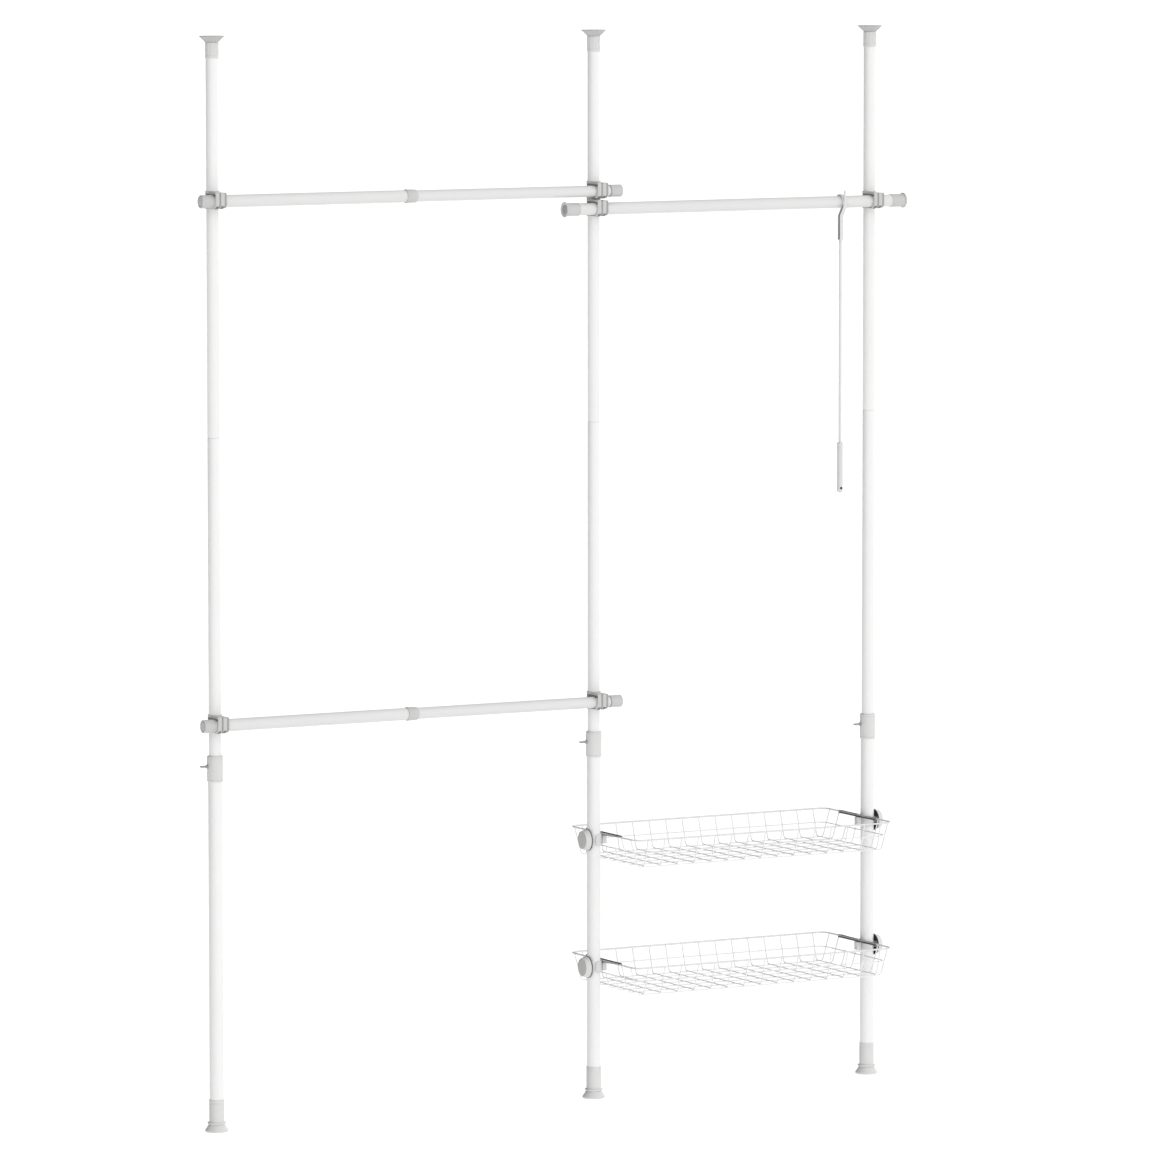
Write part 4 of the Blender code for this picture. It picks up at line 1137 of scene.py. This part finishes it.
def dress_rail(node, side):
    """A folded steel channel with dark beads that paint shade along its top and, on the right, its foot:
    low outside, high inside, its floor rising to both ends.
    """
    low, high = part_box(node)
    centre, size = middle_of(node)
    toward_bay = TOWARD_BAY[side]
    height, half, sheet = size.z - BEAD_RADIUS, size.x / 2, RAIL_SHEET
    outer_height = size.z - RAIL_OUTER_DROP
    outline = [
        (-half, 0, RAIL_BEND), (half, 0, RAIL_BEND), (half, height, 0), (half - sheet, height, 0),
        (half - sheet, sheet, RAIL_FOLD), (-half + sheet, sheet, RAIL_FOLD),
        (-half + sheet, outer_height, RAIL_LIP), (-half, outer_height, RAIL_LIP),
    ]
    path = rounded([tuple(v / MM for v in p) for p in outline])
    ends = [(low.y, RAIL_TIP), (-RAIL_DEEP_HALF, 1.0), (RAIL_DEEP_HALF, 1.0), (high.y, RAIL_TIP)]
    sections = [
        [(centre.x + toward_bay * spot.x, y, high.z - (size.z - spot.y) * depth) for spot in path]
        for y, depth in ends
    ]
    parts = [(lofted(sections), RAIL_STEEL[side])]
    inner = centre.x + toward_bay * (half - BEAD_RADIUS)
    stop = low.y if side == "left" else BEAD_STOP
    top = high.z - BEAD_RADIUS
    parts.append((rail_bead([(inner, stop, top), (inner, high.y, top)], BEAD_RADIUS), RUBBER_AND_SHADE))
    if side == "right":
        face = centre.x + toward_bay * half + BEAD_OUT
        bottom = low.z + LOWER_BEAD_RADIUS
        parts.append((rail_bead([(face, y, bottom) for y in (low.y, high.y)], LOWER_BEAD_RADIUS), RUBBER_AND_SHADE))
    dress(node, "steel", parts)


def rail_bead(spots, radius):
    """A round edge strip through these places along a rail, dark as painted shade."""
    ring = [FULL_TURN * number / BEAD_SIDES for number in range(BEAD_SIDES)]
    sections = [
        [(x + radius * math.cos(a), y, z + radius * math.sin(a)) for a in ring] for x, y, z in spots
    ]
    return lofted(sections)


def bent_band(x, z, mirror, turns, outer, height, corner):
    """A band bent round the pole from one angle to another, with its own two ends' corners rounded."""
    start, end = turns
    sections = []
    for step in range(BAND_STEPS + 1):
        angle = start + (end - start) * step / BAND_STEPS
        into = max(corner - outer * min(angle - start, end - angle), 0.0)
        half = height / 2 - corner + math.sqrt(max(corner**2 - into**2, 0.0)) + BAND_TIP
        ring = [
            (BRACKET_BORE, -half), (outer - BAND_CHAMFER, -half), (outer, -half + BAND_CHAMFER),
            (outer, half - BAND_CHAMFER), (outer - BAND_CHAMFER, half), (BRACKET_BORE, half),
        ]
        across, deep = mirror * math.cos(angle), math.sin(angle)
        sections.append([(x + radius * across, radius * deep, z + rise) for radius, rise in ring])
    return lofted(sections)


def dress_bracket(node, side):
    """A round-cornered saddle on the pole, a strap behind it toward the knob, and the rail's block."""
    x, mirror = pole_x(BAY_POLES[side]), TOWARD_BAY[side]
    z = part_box(node)[0].z + BRACKET_AXIS_RISE
    turns = (-SADDLE_TURN, SADDLE_TURN)
    saddle = bent_band(x, z, mirror, turns, SHELL_RADIUS, SADDLE_HEIGHT, EAR_CORNER)
    strap = bent_band(x, z, mirror, STRAP_TURNS, SHELL_RADIUS - STRAP_INSET, STRAP_HEIGHT, STRAP_CORNER)
    neck_end = BLOCK_START + NECK_OVERLAP
    neck = block(
        (neck_end - NECK_ROOT, NECK_DEPTH, BLOCK_HEIGHT - NECK_STEP),
        (x + mirror * (neck_end + NECK_ROOT) / 2, 0, z + BLOCK_LIFT),
        NECK_EDGE,
    )
    end = block(
        (BLOCK_REACH - BLOCK_START, BLOCK_DEPTH, BLOCK_HEIGHT),
        (x + mirror * (BLOCK_REACH + BLOCK_START) / 2, 0, z + BLOCK_LIFT),
        BLOCK_EDGE,
    )
    dress(node, "moulding", [(made, WHITE_PLASTIC) for made in (saddle, strap, neck, end)])


def dress_knob(node, side):
    """A hollow hand knob, with painted shade inside, at its rim and on its face: its skins meet at shared
    rings, and weld into one.
    """
    place = facing(pole_x(BAY_POLES[side]), 0, middle_of(node)[0].z, (-TOWARD_BAY[side], 0, 0))
    skins = (
        (KNOB_FACE, SHADED_FACE_PLASTIC),
        (KNOB_SHELL, WHITE_PLASTIC),
        (KNOB_RIM, RUBBER_AND_SHADE),
        (KNOB_HOLLOW, RUBBER_AND_SHADE),
        (KNOB_HUB, WHITE_PLASTIC),
    )
    parts = [(skin(rounded(profile), place, flipped=True), finish) for profile, finish in skins]
    dress(node, "moulding", parts)


for level in ("upper", "lower"):
    dress_basket(level + "_basket")
    for side in ("left", "right"):
        dress_rail(level + "_" + side + "_rail", side)
        dress_bracket(level + "_" + side + "_bracket", side)
        dress_knob(level + "_" + side + "_knob", side)


# Reach hook


def hook_outline():
    """The flat head seen from the side, around the rod's axis: across is toward the wall."""
    outer = HOOK_CLEAR + HOOK_ARM
    half = HOOK_STEM_WIDTH / 2
    stem_top = -outer - HOOK_STEM_WIDTH
    belly = -outer + PRONG_INSET - HOOK_ARM
    curl = HOOK_CURL_ANGLE
    inner_arc = arc((0, 0), HOOK_CLEAR, HOOK_ARM_ANGLE, curl, HOOK_INNER_STEPS)
    outer_arc = arc((0, 0), HOOK_CLEAR + HOOK_TOP_ARM, curl + FULL_TURN, math.pi, HOOK_OUTER_STEPS)
    return [
        (-half, -HOOK_STEM_DROP), (half, -HOOK_STEM_DROP), (half, stem_top),
        *inner_arc, *outer_arc, (belly, -HOOK_BELLY_DROP), (-half, stem_top),
    ]


def pocketed(mesh):
    """The plate with both flat sides sunk inside a narrow rim, and the sunk faces as their own mesh, which
    is painted dark as shade.
    """
    work = bmesh.new()
    work.from_mesh(mesh)
    sides = sorted(work.faces, key=lambda face: -face.calc_area())[:2]
    for thickness, depth in ((HOOK_POCKET_RIM, 0.0), (HOOK_POCKET_SLOPE, -HOOK_POCKET_DEPTH)):
        bmesh.ops.inset_region(work, faces=sides, thickness=thickness, depth=depth, use_even_offset=True)
    inner = bmesh.new()
    for face in sides:
        inner.faces.new([inner.verts.new(vert.co) for vert in face.verts])
    bmesh.ops.delete(work, geom=sides, context="FACES_ONLY")
    return settled(work, mesh), settled(inner)


def dress_hook_head(x, y, z):
    """The flat head that hangs on the rod, with a prong down its front."""
    plate, pockets = pocketed(extruded(hook_outline(), HOOK_THICKNESS, side_place(x, y, z), HOOK_EDGE))
    front = y - HOOK_CLEAR - 2 * HOOK_ARM + PRONG_INSET
    centre = (x, front + PRONG_DEPTH / 2 + PRONG_SETBACK, z + (PRONG_RISE - HOOK_BELLY_DROP) / 2)
    prong = block((PRONG_WIDTH, PRONG_DEPTH, PRONG_RISE + HOOK_BELLY_DROP), centre, PRONG_EDGE)
    parts = [(plate, HOOK_PLASTIC), (prong, HOOK_PLASTIC), (pockets, HOOK_POCKET_SHADE)]
    dress("hook_head", "moulding", parts)


def dress_hook_rod(x, y):
    low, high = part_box("hook_rod")
    radius = (high.x - low.x) / 2 / MM
    length = (high.z - low.z) / MM
    profile = [(0, 0), (radius, 0, HOOK_ROD_LIP), (radius, length, HOOK_ROD_LIP), (0, length)]
    dress("hook_rod", "painted", [(turned(profile, upright(x, y, low.z), SMALL_SIDES), SHADED_ROD_PAINT)])


def dress_hook_handle(x, y):
    """The grip, with a hole through its foot that a dark eyelet lines, painting the shade inside the hole.
    """
    low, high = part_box("hook_handle")
    across = (0, 1, 0)
    height = low.z + HOLE_RISE
    hole = drill(HOLE_RADIUS / MM, HOLE_REACH, facing(x, y, height, across), SMALL_SIDES)
    grip = shaped(turned(HANDLE, upright(x, y, high.z), MID_SIDES), ("DIFFERENCE", hole))
    place = facing(x, y - EYELET_LENGTH / 2, height, across)
    lips = (EYELET_LIP, EYELET_LIP)
    eyelet = tube(HOLE_RADIUS, EYELET_WALL, EYELET_LENGTH, place, lips, SMALL_SIDES)
    dress("hook_handle", "grip", [(grip, WHITE_PLASTIC), (eyelet, RUBBER_AND_SHADE)])


hook_x = middle_of("hook_head")[0].x
rod_y, rod_z = axis_at("right_rod_tube")
dress_hook_head(hook_x, rod_y, rod_z)
dress_hook_rod(hook_x, rod_y)
dress_hook_handle(hook_x, rod_y)


# Floor, light and camera

FLOOR_HALF = 300.0
FLOOR_DROP = 0.0004
FLOOR_SHADE = 0.45
FLOOR_GLOW = 0.75
BRIGHT_SIDE = (0.609, -0.793, 0.0)
SIDE_STOPS = [(0.0, 0.0), (0.2, 0.0), (0.35, 0.5), (0.5, 1.55), (0.65, 1.81), (0.8, 1.62), (1.0, 1.23)]
HEIGHT_STOPS = [(0.0, 1.0), (0.35, 1.0), (0.75, 0.72), (1.0, 0.51)]
CAMERA_LENS = 247.382
CAMERA_SENSOR = 36.0
CAMERA_FAR = 1000
CAMERA_PLACE = (-8.8837, -16.1644, 3.0211)
CAMERA_YAW = math.radians(28.9787)
CAMERA_PITCH = math.radians(5.5621)
CAMERA_ROLL = math.radians(-0.0161)


def make_floor():
    """A pale floor that glows a little, so that it stays as white as the photograph's."""
    mesh = bpy.data.meshes.new("floor")
    half = FLOOR_HALF
    corners = ((-half, -half), (half, -half), (half, half), (-half, half))
    mesh.from_pydata([(x, y, -FLOOR_DROP) for x, y in corners], [], [(0, 1, 2, 3)])
    floor = bpy.data.objects.new("floor", mesh)
    bpy.context.scene.collection.objects.link(floor)
    finish = Finish("pale_floor", roughness=0.9, base_color=grey(FLOOR_SHADE))
    finish.shader.inputs["Specular IOR Level"].default_value = 0.1
    finish.shader.inputs["Emission Color"].default_value = grey(1)
    finish.shader.inputs["Emission Strength"].default_value = FLOOR_GLOW
    mesh.materials.append(finish.material)


def shade_ramp(net, factor, stops):
    """A ramp of greys, each stop a position and a level."""
    shade = net.add("ShaderNodeValToRGB", {}, {0: factor})
    elements = shade.socket.node.color_ramp.elements
    for number, (position, level) in enumerate(stops):
        if number >= len(elements):
            elements.new(position)
        elements[number].position = position
        elements[number].color = grey(level)
    return shade


def make_world():
    """Soft studio surroundings: bright in front and to the right, dim to the left, behind and overhead."""
    world = bpy.data.worlds.new("studio")
    bpy.context.scene.world = world
    world.use_nodes = True
    net = Net(world.node_tree)
    way = net.add("ShaderNodeTexCoord", output="Generated")
    toward = {0: way, 1: Vector(BRIGHT_SIDE).normalized() * 0.5}
    side = net.add("ShaderNodeVectorMath", {"operation": "DOT_PRODUCT"}, toward, "Value")
    height = net.add("ShaderNodeSeparateXYZ", {}, {0: way}, "Z")
    side_shade = shade_ramp(net, side + 0.5, SIDE_STOPS)
    light = net.mix(1.0, side_shade, shade_ramp(net, height, HEIGHT_STOPS), "MULTIPLY")
    seen = net.add("ShaderNodeLightPath", output="Is Camera Ray")
    net.feed(net.nodes["Background"].inputs["Color"], net.mix(seen, light, grey(1)))


def make_camera():
    """The photograph's camera, solved from the poles' and rods' edges."""
    data = bpy.data.cameras.new("camera")
    data.lens = CAMERA_LENS
    data.sensor_width = CAMERA_SENSOR
    data.clip_end = CAMERA_FAR
    level = math.cos(CAMERA_PITCH)
    forward = Vector((math.sin(CAMERA_YAW) * level, math.cos(CAMERA_YAW) * level, -math.sin(CAMERA_PITCH)))
    camera = bpy.data.objects.new("camera", data)
    turn = forward.to_track_quat("-Z", "Y").to_matrix().to_4x4()
    roll = Matrix.Rotation(CAMERA_ROLL, 4, "Z")
    camera.matrix_world = Matrix.Translation(CAMERA_PLACE) @ turn @ roll
    bpy.context.scene.collection.objects.link(camera)
    bpy.context.scene.camera = camera


make_floor()
make_world()
make_camera()
bpy.context.scene.view_settings.view_transform = "Standard"
